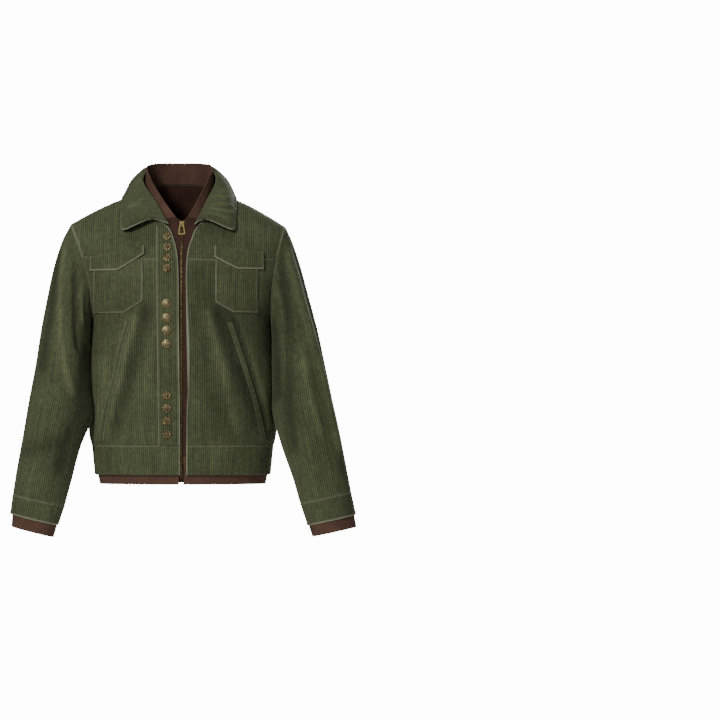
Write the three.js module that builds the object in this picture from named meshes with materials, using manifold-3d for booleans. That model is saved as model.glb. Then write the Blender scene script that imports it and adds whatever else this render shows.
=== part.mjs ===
// Corduroy jacket, filled out as if worn, with nobody inside.
// Millimetres, +Z up, +X to the wearer's left, the front faces -Y.
// The origin lies between the shoulders, where the wearer holds the jacket up.

import * as THREE from 'three';
import { mergeVertices } from 'three/addons/utils/BufferGeometryUtils.js';
import Module from 'manifold-3d';

const wasm = await Module();
wasm.setup();

// Cloth and seams
const CORDUROY = 2.0;
const KNIT = 1.6;
const SEAM_GAP = 0.3;
const RIM_BEVEL = 1.9;
const LAY_GAP = 0.8;

// Colours
const GREEN = '#454833';
const GREEN_EDGE = '#4d5039';
const BROWN = '#4b3229';
const BRASS = '#8a6f3f';

const { lerp, smoothstep, degToRad, clamp } = THREE.MathUtils;

// The two sides of the wearer
const RIGHT = -1;
const LEFT = 1;

// Rings of the body below the arms. half: half width, lean: how far the ring is off to the left,
// front and back: depth ahead of and behind the shoulder line.
const SIDE_SEAM_Y = 8;
const BODY = [
  { v: 0.0, z: -497, half: 188, lean: -1, front: 114, back: 109 },
  { v: 0.035, z: -479, half: 193, lean: -1, front: 120, back: 115 },
  { v: 0.13, z: -430, half: 196, lean: -1, front: 126, back: 119 },
  { v: 0.31, z: -340, half: 193, lean: -3, front: 126, back: 117 },
  { v: 0.5, z: -243, half: 185, lean: -4, front: 123, back: 113 },
];
const BODY_SQUARENESS = 2.15;

// Rows above the underarm, which is at v = 0.5. turn: how far the row has turned towards the side
// where it meets the armhole, in degrees.
const UNDERARM_V = 0.5;
const CHEST = [
  { v: 0.65, frontZ: -181, front: 119, backZ: -172, back: 114, turn: 80 },
  { v: 0.76, frontZ: -134, front: 113, backZ: -114, back: 112, turn: 68 },
  { v: 0.87, frontZ: -84, front: 101, backZ: -50, back: 99, turn: 56 },
];
const TOP_V = 1.0;
const NECK_SHARE = 0.42;
const NECK_PIT = { share: 0.12, y: -86, z: -41 };

// Armholes: shoulder tip and underarm as [x, z], bow: how far the seam bends towards the chest
const ARMHOLE = {
  [RIGHT]: { tip: [-232, -40], under: [-189, -243], bow: 13 },
  [LEFT]: { tip: [212, -46], under: [181, -243], bow: 9 },
};
const ARMHOLE_FRONT = 66;
const ARMHOLE_BACK = 64;

// Neckline, roll line and leaf edge of the collar, and the brown collar's top edge,
// from the centre back (q = 0) to the front end (q = 1). x counts outwards.
const COLLAR = [
  { q: 0.0, neck: [0, 66, 45], roll: [0, 58, 86], edge: [0, 90, 41], brown: [0, 50, 88] },
  { q: 0.15, neck: [36, 61, 43], roll: [32, 54, 86], edge: [48, 86, 40], brown: [29, 46, 88] },
  { q: 0.3, neck: [66, 40, 36], roll: [60, 36, 83], edge: [92, 62, 33], brown: [54, 29, 86] },
  { q: 0.45, neck: [82, 10, 26], roll: [76, 10, 72], edge: [115, 26, 20], brown: [68, 5, 79] },
  { q: 0.6, neck: [80, -24, 12], roll: [79, -16, 54], edge: [118, -14, 0], brown: [61, -24, 56] },
  { q: 0.75, neck: [68, -52, -6], roll: [71, -40, 34], edge: [120, -50, -28], brown: [50, -50, 34] },
  { q: 0.88, neck: [50, -70, -20], roll: [56, -60, 10], edge: [116, -84, -56], brown: [35, -68, 8] },
  { q: 0.94, neck: [42, -76, -25], roll: [45, -70, -8], edge: [86, -90, -42], brown: [22, -76, -12] },
  { q: 1.0, neck: [34, -81, -31], roll: [36, -82, -26], edge: [54, -90, -29], brown: [12, -82, -27] },
];
const COLLAR_LEAN = -8;
const SHOULDER_Q = 0.45;
const LEAF_BULGE = 9;

// Sleeve sections from the armhole to the cuff seam: outer and inner edge as [x, z],
// y: centre, depth: half depth
const SLEEVE = {
  [RIGHT]: [
    { s: 0.0, outer: [-232, -40], inner: [-189, -243], y: 4, depth: 65 },
    { s: 0.07, outer: [-250, -75], inner: [-189, -262], y: 0, depth: 66 },
    { s: 0.18, outer: [-266, -126], inner: [-190, -286], y: -9, depth: 67 },
    { s: 0.32, outer: [-279, -188], inner: [-190, -318], y: -20, depth: 67 },
    { s: 0.46, outer: [-292, -259], inner: [-189, -352], y: -31, depth: 66 },
    { s: 0.58, outer: [-303, -333], inner: [-187, -392], y: -41, depth: 64 },
    { s: 0.69, outer: [-316, -404], inner: [-183, -432], y: -49, depth: 62 },
    { s: 0.82, outer: [-328, -478], inner: [-210, -502], y: -58, depth: 58 },
    { s: 0.92, outer: [-339, -540], inner: [-226, -564], y: -66, depth: 54 },
    { s: 1.0, outer: [-348, -598], inner: [-241, -621], y: -72, depth: 50 },
  ],
  [LEFT]: [
    { s: 0.0, outer: [212, -46], inner: [181, -243], y: 4, depth: 65 },
    { s: 0.07, outer: [226, -77], inner: [182, -262], y: 0, depth: 66 },
    { s: 0.18, outer: [243, -128], inner: [183, -286], y: -9, depth: 67 },
    { s: 0.32, outer: [260, -190], inner: [183, -318], y: -20, depth: 67 },
    { s: 0.46, outer: [279, -261], inner: [184, -352], y: -31, depth: 66 },
    { s: 0.58, outer: [295, -335], inner: [185, -392], y: -41, depth: 64 },
    { s: 0.69, outer: [310, -406], inner: [186, -432], y: -49, depth: 62 },
    { s: 0.82, outer: [326, -478], inner: [205, -500], y: -58, depth: 58 },
    { s: 0.92, outer: [338, -540], inner: [227, -562], y: -66, depth: 54 },
    { s: 1.0, outer: [348, -592], inner: [243, -616], y: -72, depth: 50 },
  ],
};
const SLEEVE_SEAM = 0.7;
const BODY_CLEARANCE = 3;

// Cuff and brown rib below it, as sections that follow the sleeve
const CUFF = {
  [RIGHT]: [
    { s: 0, outer: [-348, -598], inner: [-241, -621], y: -72, depth: 50 },
    { s: 1, outer: [-353, -636], inner: [-254, -660], y: -77, depth: 47 },
  ],
  [LEFT]: [
    { s: 0, outer: [348, -592], inner: [243, -616], y: -72, depth: 50 },
    { s: 1, outer: [358, -638], inner: [258, -661], y: -77, depth: 47 },
  ],
};
const RIB_END = {
  [RIGHT]: { outer: [-350, -663], inner: [-263.5, -685], y: -79, depth: 41 },
  [LEFT]: { outer: [359, -664], inner: [268, -684], y: -79, depth: 41 },
};
const RIB_START = 0.4;
const RIB_INSET = 3.4;
const CUFF_SLIT_ANGLE = 0.035;

// The largest folds, as soft ridges (height above 0) and troughs. On the body, ends are [x, z];
// on a sleeve they are [degrees round it, share of its length], with the outer edge at 0 degrees,
// the front at 90 and the back at -90.
const BODY_FOLDS = {
  front: [
    { from: [-72, -240], to: [-84, -430], width: 15, height: -3 },
    { from: [-136, -260], to: [-120, -440], width: 13, height: 2.5 },
    { from: [70, -244], to: [82, -440], width: 15, height: -3 },
    { from: [118, -262], to: [108, -446], width: 13, height: 2.5 },
  ],
  back: [
    { from: [46, -120], to: [58, -450], width: 17, height: -4 },
    { from: [-66, -130], to: [-80, -452], width: 18, height: -4 },
    { from: [-126, -170], to: [-132, -440], width: 13, height: 3 },
    { from: [122, -180], to: [136, -446], width: 14, height: -3 },
    { from: [-8, -200], to: [2, -455], width: 15, height: 2.5 },
  ],
};
const SLEEVE_FOLDS = {
  [RIGHT]: [
    { from: [60, 0.09], to: [52, 0.4], width: 11, height: 3 },
    { from: [96, 0.08], to: [88, 0.34], width: 15, height: -5 },
    { from: [170, 0.52], to: [70, 0.62], width: 12, height: -4 },
    { from: [160, 0.62], to: [60, 0.7], width: 12, height: 3 },
    { from: [-165, 0.6], to: [-80, 0.66], width: 14, height: -4 },
    { from: [130, 0.8], to: [30, 0.87], width: 12, height: -3 },
    { from: [-130, 0.82], to: [-20, 0.9], width: 13, height: -3 },
  ],
  [LEFT]: [
    { from: [64, 0.1], to: [50, 0.36], width: 12, height: 3 },
    { from: [100, 0.09], to: [86, 0.38], width: 14, height: -4.5 },
    { from: [168, 0.5], to: [74, 0.6], width: 12, height: -4 },
    { from: [158, 0.6], to: [66, 0.71], width: 13, height: 3 },
    { from: [-168, 0.58], to: [-84, 0.67], width: 14, height: -4 },
    { from: [120, 0.79], to: [36, 0.88], width: 12, height: -3 },
    { from: [-126, 0.81], to: [-26, 0.89], width: 13, height: -3 },
  ],
};
const SLEEVE_LENGTH = 575;
const SLEEVE_RADIUS = 62;

// Front edges of the green cloth beside the zip
const FRONT_EDGE = [
  { z: -620, right: -2.5, left: 11 },
  { z: -497, right: -2.5, left: 10 },
  { z: -430, right: -2, left: 11 },
  { z: -390, right: -2.5, left: 13 },
  { z: -300, right: -5, left: 14.5 },
  { z: -220, right: -4.5, left: 11.5 },
  { z: -160, right: -5, left: 9 },
  { z: -120, right: -6.5, left: 10 },
  { z: -94, right: -10, left: 13 },
  { z: -72, right: -16, left: 20 },
  { z: -52, right: -25, left: 28 },
  { z: -36, right: -42, left: 42 },
  { z: -26, right: -58, left: 54 },
  { z: 40, right: -80, left: 74 },
];

// Rows of the fronts and back, with the yoke seam at v = 0.8
const PANEL_ROWS = [0, 0.018, 0.045, 0.09, 0.16, 0.24, 0.32, 0.41, 0.5, 0.55, 0.6, 0.65, 0.7, 0.75, 0.8];
const YOKE_ROWS = [0.8, 0.85, 0.9, 0.95, 1];

// Hem band and brown rib
const HEM_TOP = -497;
const HEM_BOTTOM = -557;
const HEM_TAPER = 6;
const RIB_TOP = -520;
const RIB_BOTTOM = -577;
const RIB_TAPER = 12;

// Button band on the right front, counted outwards from the front edge
const BAND_OUTER_TOP = -52;
const BAND_OUTER_BOTTOM = -46.5;
const BAND_TOP = -46;
const BAND_THICKNESS = 1.8;

// Studs on the button band
const STUDS = [
  { name: 'top', rows: [-68, -90, -111.5, -133], x: -29.5, diameter: 17.5 },
  { name: 'middle', rows: [-205.5, -234.5, -260, -288], x: -29.5, diameter: 19.5 },
  { name: 'bottom', rows: [-393.5, -420, -446, -473], x: -29, diameter: 18.5 },
];
const STUD_HEIGHT = 3.4;
const STUD_SIDES = 16;

// Chest pockets and flaps, as [x, z] corners. The lower inner corner is cut off at a slant.
const CHEST_POCKET = {
  [RIGHT]: { outer: -181, inner: -79, top: -112, bottom: -224, cutX: -118, cutZ: -199 },
  [LEFT]: { outer: 155, inner: 69.5, top: -112, bottom: -223, cutX: 107, cutZ: -202 },
};
const FLAP = {
  [RIGHT]: { outer: -186.5, inner: -76.5, topOuter: -107, topInner: -86, bottom: -137, cutX: -131, cutZ: -104 },
  [LEFT]: { outer: 166, inner: 67.5, topOuter: -99, topInner: -86, bottom: -134, cutX: 114, cutZ: -110 },
};
const POCKET_THICKNESS = 1.6;
const FLAP_THICKNESS = 1.8;

// Slanted side pockets: the mouth's edge as [x, z] points from the top down
const SIDE_POCKET = {
  [RIGHT]: [[-114, -243], [-122.5, -273], [-131, -304], [-141.5, -358], [-155, -404], [-166, -455], [-170, -488]],
  [LEFT]: [[104, -243], [114, -275], [131, -325], [145.5, -373], [158.5, -420], [168, -465], [171, -488]],
};
const WELT_WIDTH = 11;
const WELT_THICKNESS = 1.4;

// Zip
const FACING_WIDTH = 34;
const FACING_WIDTH_TOP = 48;
const FACING_TOP = [[0, -35], [34, -35], [42, -33], [52, -32]];
const FACING_GAP = 0.8;
const FACING_GAP_TOP = 4.4;
const BLOUSE_Z = -466;
const ZIP_TOP = -48;
const ZIP_BOTTOM = -570;
const CHAIN_WIDTH = 5.2;
const CHAIN_THICKNESS = 2.4;

// Slider, counted out from the facing's outer face: two plates joined between the facings, and a
// crown that the pull tab's top bar runs through
const SLIDER = { z: -40, height: 12, width: 9, plate: 1.8, backPlate: 1.4, web: 4.2, play: 0.45 };
const CROWN = { width: 2.4, opening: 2.8, height: 4, wall: 1.3 };
const TAB = { topWidth: 8, bottomWidth: 15, length: 25, thickness: 1.4, topBar: 1.4, sideBar: 2.2, bottomBar: 3.2 };

const point = (x, y, z) => new THREE.Vector3(x, y, z);

// Smooth curve through knots: a cubic in each interval, with slopes from the neighbours
function curveAt(knots, values, t) {
  const last = knots.length - 1;
  let i = 0;
  while (i < last - 1 && t > knots[i + 1]) i += 1;
  const slope = (k) => {
    const a = Math.max(k - 1, 0);
    const b = Math.min(k + 1, last);
    return (values[b] - values[a]) / (knots[b] - knots[a]);
  };
  const span = knots[i + 1] - knots[i];
  const f = (t - knots[i]) / span;
  const g = 1 - f;
  return values[i] * g * g * (1 + 2 * f) + values[i + 1] * f * f * (3 - 2 * f)
    + span * (slope(i) * f * g * g - slope(i + 1) * f * f * g);
}

// One column of a table read at t
function read(table, key, column, t) {
  return curveAt(table.map((row) => row[key]), table.map((row) => row[column]), t);
}

// A column of [x, z] or [x, y, z] entries read at t
function readPoint(table, key, column, t) {
  const knots = table.map((row) => row[key]);
  return table[0][column].map((_, axis) => curveAt(knots, table.map((row) => row[column][axis]), t));
}

// Height of a set of folds at a place, both in millimetres
function foldHeight(folds, a, b) {
  return folds.reduce((sum, { from, to, width, height }) => {
    const along = [to[0] - from[0], to[1] - from[1]];
    const offset = [a - from[0], b - from[1]];
    const share = clamp((offset[0] * along[0] + offset[1] * along[1]) / (along[0] ** 2 + along[1] ** 2), 0, 1);
    const distance = Math.hypot(offset[0] - share * along[0], offset[1] - share * along[1]);
    return sum + height * Math.exp(-((distance / width) ** 2));
  }, 0);
}

// The armhole seam. angle 0 is the shoulder tip, 180 degrees the underarm. Positive angles are
// on the front and negative ones on the back.
function armhole(side, angle) {
  const { tip, under, bow } = ARMHOLE[side];
  const c = Math.cos(angle);
  const s = Math.sin(angle);
  const depth = s > 0 ? ARMHOLE_FRONT : ARMHOLE_BACK;
  const x = (tip[0] + under[0]) / 2 + (tip[0] - under[0]) / 2 * c - side * bow * s * s;
  const z = (tip[1] + under[1]) / 2 + (tip[1] - under[1]) / 2 * c;
  return point(x, SIDE_SEAM_Y * (1 - c) / 2 - depth * s, z);
}

// A point on one of the collar's lines, with the collar's small lean to the right
function collarLine(side, line, q) {
  const [x, y, z] = readPoint(COLLAR, 'q', line, q);
  return point(side * x + COLLAR_LEAN * (1 - q ** 4), y, z);
}

// A row from the centre to the side: part of a squared-off ellipse
function rowPoint(centre, edge, turn, squareness, u) {
  const reach = (Math.sin(u * turn) / Math.sin(turn)) ** (2 / squareness);
  const depth = Math.max((Math.cos(u * turn) - Math.cos(turn)) / (1 - Math.cos(turn)), 0);
  return point(
    lerp(centre.x, edge.x, reach),
    lerp(edge.y, centre.y, depth ** (2 / squareness)),
    lerp(centre.z, edge.z, u * u * (3 - 2 * u)),
  );
}

// Share of the way up the armhole turned into its angle
function climbAngle(face, climb) {
  return (face === 'front' ? 1 : -1) * Math.PI * (1 - climb);
}

// The side edge of a panel: the side seam, then the armhole
function sideEdge(side, face, v) {
  if (v >= UNDERARM_V) {
    const climb = (v - UNDERARM_V) / (TOP_V - UNDERARM_V);
    return armhole(side, climbAngle(face, Math.min(climb, 1)));
  }
  return point(side * read(BODY, 'v', 'half', v) + read(BODY, 'v', 'lean', v), SIDE_SEAM_Y, read(BODY, 'v', 'z', v));
}

function chestRow(side, face, row, u) {
  const front = face === 'front';
  const centre = point(0, front ? -row.front : row.back, front ? row.frontZ : row.backZ);
  return rowPoint(centre, sideEdge(side, face, row.v), degToRad(row.turn), 2, u);
}

function bodyRow(side, face, row, u) {
  const centre = point(0, face === 'front' ? -row.front : row.back, row.z);
  const edge = point(side * row.half + row.lean, SIDE_SEAM_Y, row.z);
  return rowPoint(centre, edge, Math.PI / 2, BODY_SQUARENESS, u);
}

// The top row: the neckline, then the shoulder seam
function topRow(side, face, u) {
  if (face === 'front' && u < NECK_PIT.share) {
    return point(0, NECK_PIT.y, NECK_PIT.z).lerp(collarLine(side, 'neck', 1), u / NECK_PIT.share);
  }
  if (u <= NECK_SHARE) {
    const start = face === 'front' ? NECK_PIT.share : 0;
    const q = lerp(face === 'front' ? 1 : 0, SHOULDER_Q, (u - start) / (NECK_SHARE - start));
    return collarLine(side, 'neck', q);
  }
  const share = (u - NECK_SHARE) / (1 - NECK_SHARE);
  const start = collarLine(side, 'neck', SHOULDER_Q);
  const seam = start.lerp(armhole(side, 0), share);
  seam.z += 5 * Math.sin(share * Math.PI);
  return seam;
}

// A column of the body, smooth from the hem band to the neck and on over the shoulder
function column(side, face, u, v) {
  const rows = BODY.map((row) => bodyRow(side, face, row, u));
  rows.push(...CHEST.map((row) => chestRow(side, face, row, u)));
  const top = topRow(side, face, u);
  rows.push(top);
  const over = chestRow(side, face === 'front' ? 'back' : 'front', CHEST[CHEST.length - 1], u);
  const collarward = top.clone().lerp(rows[rows.length - 2], -0.45);
  rows.push(collarward.lerp(over, smoothstep(u, NECK_SHARE - 0.16, NECK_SHARE + 0.1)));
  const knots = [...BODY.map((row) => row.v), ...CHEST.map((row) => row.v), TOP_V, TOP_V + 0.17];
  return point(...['x', 'y', 'z'].map((axis) => curveAt(knots, rows.map((row) => row[axis]), v)));
}

// The body's outer surface. u: from the centre to the side or armhole, v: from the hem band up.
// Its side edge is drawn exactly onto the side seam and the armhole.
function torso(side, face, u, v) {
  const correction = sideEdge(side, face, v).sub(column(side, face, 1, v));
  const p = column(side, face, u, v).addScaledVector(correction, Math.abs(u) ** 6);
  const fade = smoothstep(v, 0, 0.07) * (1 - smoothstep(v, 0.9, 1)) * (1 - Math.abs(u) ** 6);
  p.y += (face === 'front' ? -1 : 1) * fade * foldHeight(BODY_FOLDS[face], p.x, p.z);
  return p;
}

// The share u at which a row of the front reaches the front edge
function frontEdgeShare(side, v) {
  let low = 0;
  let high = 0.9;
  for (let step = 0; step < 30; step += 1) {
    const u = (low + high) / 2;
    const p = torso(side, 'front', u, v);
    const edge = read(FRONT_EDGE, 'z', side === RIGHT ? 'right' : 'left', p.z);
    if (side * (p.x - edge) < 0) low = u;
    else high = u;
  }
  return (low + high) / 2;
}

// The front's surface point above a given x and z, moved out by lift
function onFront(side, x, z, lift) {
  let u = 0.4;
  let v = 0.6;
  const h = 1e-3;
  for (let step = 0; step < 12; step += 1) {
    const p = torso(side, 'front', u, v);
    const du = torso(side, 'front', u + h, v).sub(p).divideScalar(h);
    const dv = torso(side, 'front', u, v + h).sub(p).divideScalar(h);
    const det = du.x * dv.z - dv.x * du.z;
    u += clamp(((x - p.x) * dv.z - (z - p.z) * dv.x) / det, -0.2, 0.2);
    v += clamp((du.x * (z - p.z) - du.z * (x - p.x)) / det, -0.2, 0.2);
    u = clamp(u, 0.001, 0.998);
  }
  return movedOut(torso(side, 'front', u, v), torsoNormal(side, 'front', u, v), lift);
}

function movedOut(p, normal, lift) {
  return p.clone().addScaledVector(normal, lift);
}

function torsoNormal(side, face, u, v) {
  const h = 1e-3;
  const du = torso(side, face, u + h, v).sub(torso(side, face, u - h, v));
  const dv = torso(side, face, u, v + h).sub(torso(side, face, u, v - h));
  const normal = du.cross(dv).normalize();
  return side === RIGHT ? normal.multiplyScalar(face === 'front' ? -1 : 1)
    : normal.multiplyScalar(face === 'front' ? 1 : -1);
}

// A section of a sleeve, cuff or rib. angle runs as on the armhole.
function tube(table, side, s, angle) {
  const outer = readPoint(table, 's', 'outer', s);
  const inner = readPoint(table, 's', 'inner', s);
  const c = Math.cos(angle);
  return point(
    (outer[0] + inner[0]) / 2 + (outer[0] - inner[0]) / 2 * c,
    read(table, 's', 'y', s) - read(table, 's', 'depth', s) * Math.sin(angle),
    (outer[1] + inner[1]) / 2 + (outer[1] - inner[1]) / 2 * c,
  );
}

// Half width of the body at a height and depth, for keeping the sleeves off it
function bodyReach(side, y, z) {
  const knots = BODY.map((row) => -row.z).reverse();
  const at = (column) => curveAt(knots, BODY.map((row) => row[column]).reverse(), -z);
  const depth = y < SIDE_SEAM_Y ? at('front') + SIDE_SEAM_Y : at('back') - SIDE_SEAM_Y;
  const share = Math.min(Math.abs(y - SIDE_SEAM_Y) / depth, 1);
  return side * at('lean') + at('half') * (1 - share ** BODY_SQUARENESS) ** (1 / BODY_SQUARENESS);
}

// The sleeve's outer surface: it starts on the armhole seam and rests lightly against the body
function sleeve(side, s, angle) {
  const p = tube(SLEEVE[side], side, s, angle);
  const seamShare = 1 - smoothstep(s, 0, 0.3);
  p.lerp(armhole(side, angle).add(p.clone().sub(tube(SLEEVE[side], side, 0, angle))), seamShare);
  const middle = tube(SLEEVE[side], side, s, 0).lerp(tube(SLEEVE[side], side, s, Math.PI), 0.5);
  const fade = smoothstep(s, 0, 0.12) * (1 - smoothstep(s, 0.9, 1));
  const folds = SLEEVE_FOLDS[side].map((fold) => ({
    ...fold,
    from: [degToRad(fold.from[0]) * SLEEVE_RADIUS, fold.from[1] * SLEEVE_LENGTH],
    to: [degToRad(fold.to[0]) * SLEEVE_RADIUS, fold.to[1] * SLEEVE_LENGTH],
  }));
  const height = fade * foldHeight(folds, angle * SLEEVE_RADIUS, s * SLEEVE_LENGTH);
  p.addScaledVector(p.clone().sub(middle).normalize(), height);
  if (p.z < -243 && p.z > HEM_TOP) {
    const clearance = BODY_CLEARANCE * smoothstep(-p.z, 243, 262);
    const reach = bodyReach(side, p.y, p.z) + clearance;
    p.x = side * Math.max(side * p.x, reach);
  }
  return p;
}

// Normal of each point of a grid, from its neighbours
function gridNormals(grid, closed) {
  const rows = grid.length;
  const columns = grid[0].length;
  return grid.map((row, j) => row.map((_, i) => {
    const left = closed ? (i + columns - 1) % columns : Math.max(i - 1, 0);
    const right = closed ? (i + 1) % columns : Math.min(i + 1, columns - 1);
    const across = row[right].clone().sub(row[left]);
    const along = grid[Math.min(j + 1, rows - 1)][i].clone().sub(grid[Math.max(j - 1, 0)][i]);
    return across.cross(along).normalize();
  }));
}

// Moves the grid's rim inwards along the cloth
function trimmed(grid, closed, amount) {
  const rows = grid.length;
  const columns = grid[0].length;
  const toward = (p, q) => q.clone().sub(p).normalize().multiplyScalar(amount);
  return grid.map((row, j) => row.map((p, i) => {
    const moved = p.clone();
    if (j === 0) moved.add(toward(p, grid[1][i]));
    if (j === rows - 1) moved.add(toward(p, grid[rows - 2][i]));
    if (!closed && i === 0) moved.add(toward(p, row[1]));
    if (!closed && i === columns - 1) moved.add(toward(p, row[columns - 2]));
    return moved;
  }));
}

// A closed thin wall from its outer grid. inside: a point that the outer face looks away from.
function wall(grid, thickness, inside, closed = false) {
  const rows = grid.length;
  const columns = grid[0].length;
  const normals = gridNormals(grid, closed);
  let outwardness = 0;
  grid.forEach((row, j) => row.forEach((p, i) => {
    outwardness += p.clone().sub(inside).normalize().dot(normals[j][i]);
  }));
  const sign = Math.sign(outwardness);
  const outer = trimmed(grid, closed, SEAM_GAP / 2);
  const bevelled = trimmed(grid, closed, SEAM_GAP / 2 + RIM_BEVEL);
  const inner = bevelled.map((row, j) => row.map((p, i) => movedOut(p, normals[j][i], -sign * thickness)));
  const positions = [];
  [outer, inner].forEach((layer) => layer.forEach((row) => row.forEach((p) => positions.push(p.x, p.y, p.z))));
  const index = [];
  const vertex = (layer, j, i) => layer * rows * columns + j * columns + (i % columns);
  const quad = (a, b, c, d) => {
    if (sign > 0) index.push(a, b, c, a, c, d);
    else index.push(a, c, b, a, d, c);
  };
  const spans = closed ? columns : columns - 1;
  for (let j = 0; j < rows - 1; j += 1) {
    for (let i = 0; i < spans; i += 1) {
      quad(vertex(0, j, i), vertex(0, j, i + 1), vertex(0, j + 1, i + 1), vertex(0, j + 1, i));
      quad(vertex(1, j, i), vertex(1, j + 1, i), vertex(1, j + 1, i + 1), vertex(1, j, i + 1));
    }
  }
  for (let i = 0; i < spans; i += 1) {
    quad(vertex(0, 0, i), vertex(1, 0, i), vertex(1, 0, i + 1), vertex(0, 0, i + 1));
    quad(vertex(0, rows - 1, i), vertex(0, rows - 1, i + 1), vertex(1, rows - 1, i + 1), vertex(1, rows - 1, i));
  }
  if (!closed) {
    const end = columns - 1;
    for (let j = 0; j < rows - 1; j += 1) {
      quad(vertex(0, j, 0), vertex(0, j + 1, 0), vertex(1, j + 1, 0), vertex(1, j, 0));
      quad(vertex(0, j, end), vertex(1, j, end), vertex(1, j + 1, end), vertex(0, j + 1, end));
    }
  }
  const geometry = new THREE.BufferGeometry();
  geometry.setAttribute('position', new THREE.Float32BufferAttribute(positions, 3));
  geometry.setIndex(index);
  return geometry;
}

// A grid of points from two shares that run from 0 to 1
function gridOf(rows, columns, at, closed = false) {
  const across = closed ? columns : columns - 1;
  return Array.from({ length: rows }, (_, j) => (
    Array.from({ length: columns }, (__, i) => at(i / across, j / (rows - 1)))
  ));
}

const jacket = new THREE.Group();

function addMesh(name, geometry, color, roughness = 0.95, metalness = 0) {
  const mesh = new THREE.Mesh(geometry, new THREE.MeshStandardMaterial({ color, roughness, metalness }));
  mesh.name = name;
  jacket.add(mesh);
  return mesh;
}

const sideName = (side) => (side === RIGHT ? 'right' : 'left');
const TORSO_MIDDLE = point(0, 0, -200);

// Front and front yoke of one side, between the front edge and the side seam or armhole
function addFront(side) {
  const panel = (rows) => rows.map((v) => {
    const start = frontEdgeShare(side, v);
    return Array.from({ length: 12 }, (_, i) => torso(side, 'front', lerp(start, 1, i / 11), v));
  });
  addMesh(`front_${sideName(side)}`, wall(panel(PANEL_ROWS), CORDUROY, TORSO_MIDDLE), GREEN);
  addMesh(`front_yoke_${sideName(side)}`, wall(panel(YOKE_ROWS), CORDUROY, TORSO_MIDDLE), GREEN);
}

// Back and back yoke, each one piece from side to side
function addBack() {
  const panel = (rows) => rows.map((v) => Array.from({ length: 23 }, (_, i) => {
    const across = i / 11 - 1;
    return torso(across < 0 ? RIGHT : LEFT, 'back', Math.abs(across), v);
  }));
  addMesh('back', wall(panel(PANEL_ROWS), CORDUROY, TORSO_MIDDLE), GREEN);
  addMesh('back_yoke', wall(panel(YOKE_ROWS), CORDUROY, TORSO_MIDDLE), GREEN);
}

// Top sleeve and under sleeve, parted by the rear seam and the underarm seam
function addSleeve(side) {
  const middle = tube(SLEEVE[side], side, 0.5, Math.PI / 2).add(tube(SLEEVE[side], side, 0.5, -Math.PI / 2))
    .multiplyScalar(0.5);
  const seam = climbAngle('back', SLEEVE_SEAM);
  const strip = (from, to) => (a, b) => sleeve(side, b, lerp(from, to, a));
  const top = gridOf(17, 14, strip(seam, Math.PI));
  const under = gridOf(17, 8, strip(-Math.PI, seam));
  addMesh(`top_sleeve_${sideName(side)}`, wall(top, CORDUROY, middle), GREEN);
  addMesh(`under_sleeve_${sideName(side)}`, wall(under, CORDUROY, middle), GREEN);
}

// Cuff, open at its slit, and the brown rib inside it
function addCuff(side) {
  const table = CUFF[side];
  const middle = tube(table, side, 0.5, 0).add(tube(table, side, 0.5, Math.PI)).multiplyScalar(0.5);
  const start = climbAngle('back', SLEEVE_SEAM) + CUFF_SLIT_ANGLE;
  const turn = 2 * Math.PI - 2 * CUFF_SLIT_ANGLE;
  const cuff = gridOf(3, 25, (a, b) => tube(table, side, b, start + a * turn));
  const rib = gridOf(4, 24, (a, b) => {
    const angle = start + a * 2 * Math.PI;
    const top = tube(table, side, RIB_START, angle);
    const centre = tube(table, side, RIB_START, 0).add(tube(table, side, RIB_START, Math.PI)).multiplyScalar(0.5);
    top.addScaledVector(top.clone().sub(centre).normalize(), -RIB_INSET);
    return top.lerp(tube([{ s: 0, ...RIB_END[side] }, { s: 1, ...RIB_END[side] }], side, 0, angle), b);
  }, true);
  addMesh(`cuff_${sideName(side)}`, wall(cuff, CORDUROY, middle), GREEN_EDGE);
  addMesh(`cuff_rib_${sideName(side)}`, wall(rib, KNIT, middle, true), BROWN);
}

// A ring of the hem: the band's lowest ring, drawn in by taper and moved in by inset.
// a runs from the right front edge round the back to the left front edge.
function hemPoint(a, z, taper, inset, edges) {
  const ring = BODY[0];
  const side = a < 0.5 ? RIGHT : LEFT;
  const t = Math.abs(2 * a - 1);
  const edgeX = Math.abs(edges[side]);
  const reachable = ring.half - taper - inset;
  const start = Math.asin((edgeX / reachable) ** (BODY_SQUARENESS / 2));
  const angle = lerp(Math.PI, start, t);
  const x = reachable * Math.abs(Math.sin(angle)) ** (2 / BODY_SQUARENESS);
  const front = Math.cos(angle) > 0;
  const depth = (front ? ring.front + SIDE_SEAM_Y : ring.back - SIDE_SEAM_Y) - taper - inset;
  const y = SIDE_SEAM_Y - Math.sign(Math.cos(angle)) * depth * Math.abs(Math.cos(angle)) ** (2 / BODY_SQUARENESS);
  return point(side * x + ring.lean, y, z);
}

function addHem() {
  const bandEdges = { [RIGHT]: -1.5, [LEFT]: 11 };
  const ribEdges = { [RIGHT]: -4.6, [LEFT]: 4.6 };
  const band = gridOf(4, 45, (a, b) => (
    hemPoint(a, lerp(HEM_TOP, HEM_BOTTOM, b), HEM_TAPER * b, 0, bandEdges)
  ));
  const rib = gridOf(4, 45, (a, b) => (
    hemPoint(a, lerp(RIB_TOP, RIB_BOTTOM, b), RIB_TAPER * b + 2.3, CORDUROY + SEAM_GAP + 0.2, ribEdges)
  ));
  addMesh('hem_band', wall(band, CORDUROY, point(0, 0, -520)), GREEN_EDGE);
  addMesh('hem_rib', wall(rib, KNIT, point(0, 0, -540)), BROWN);
}

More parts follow.
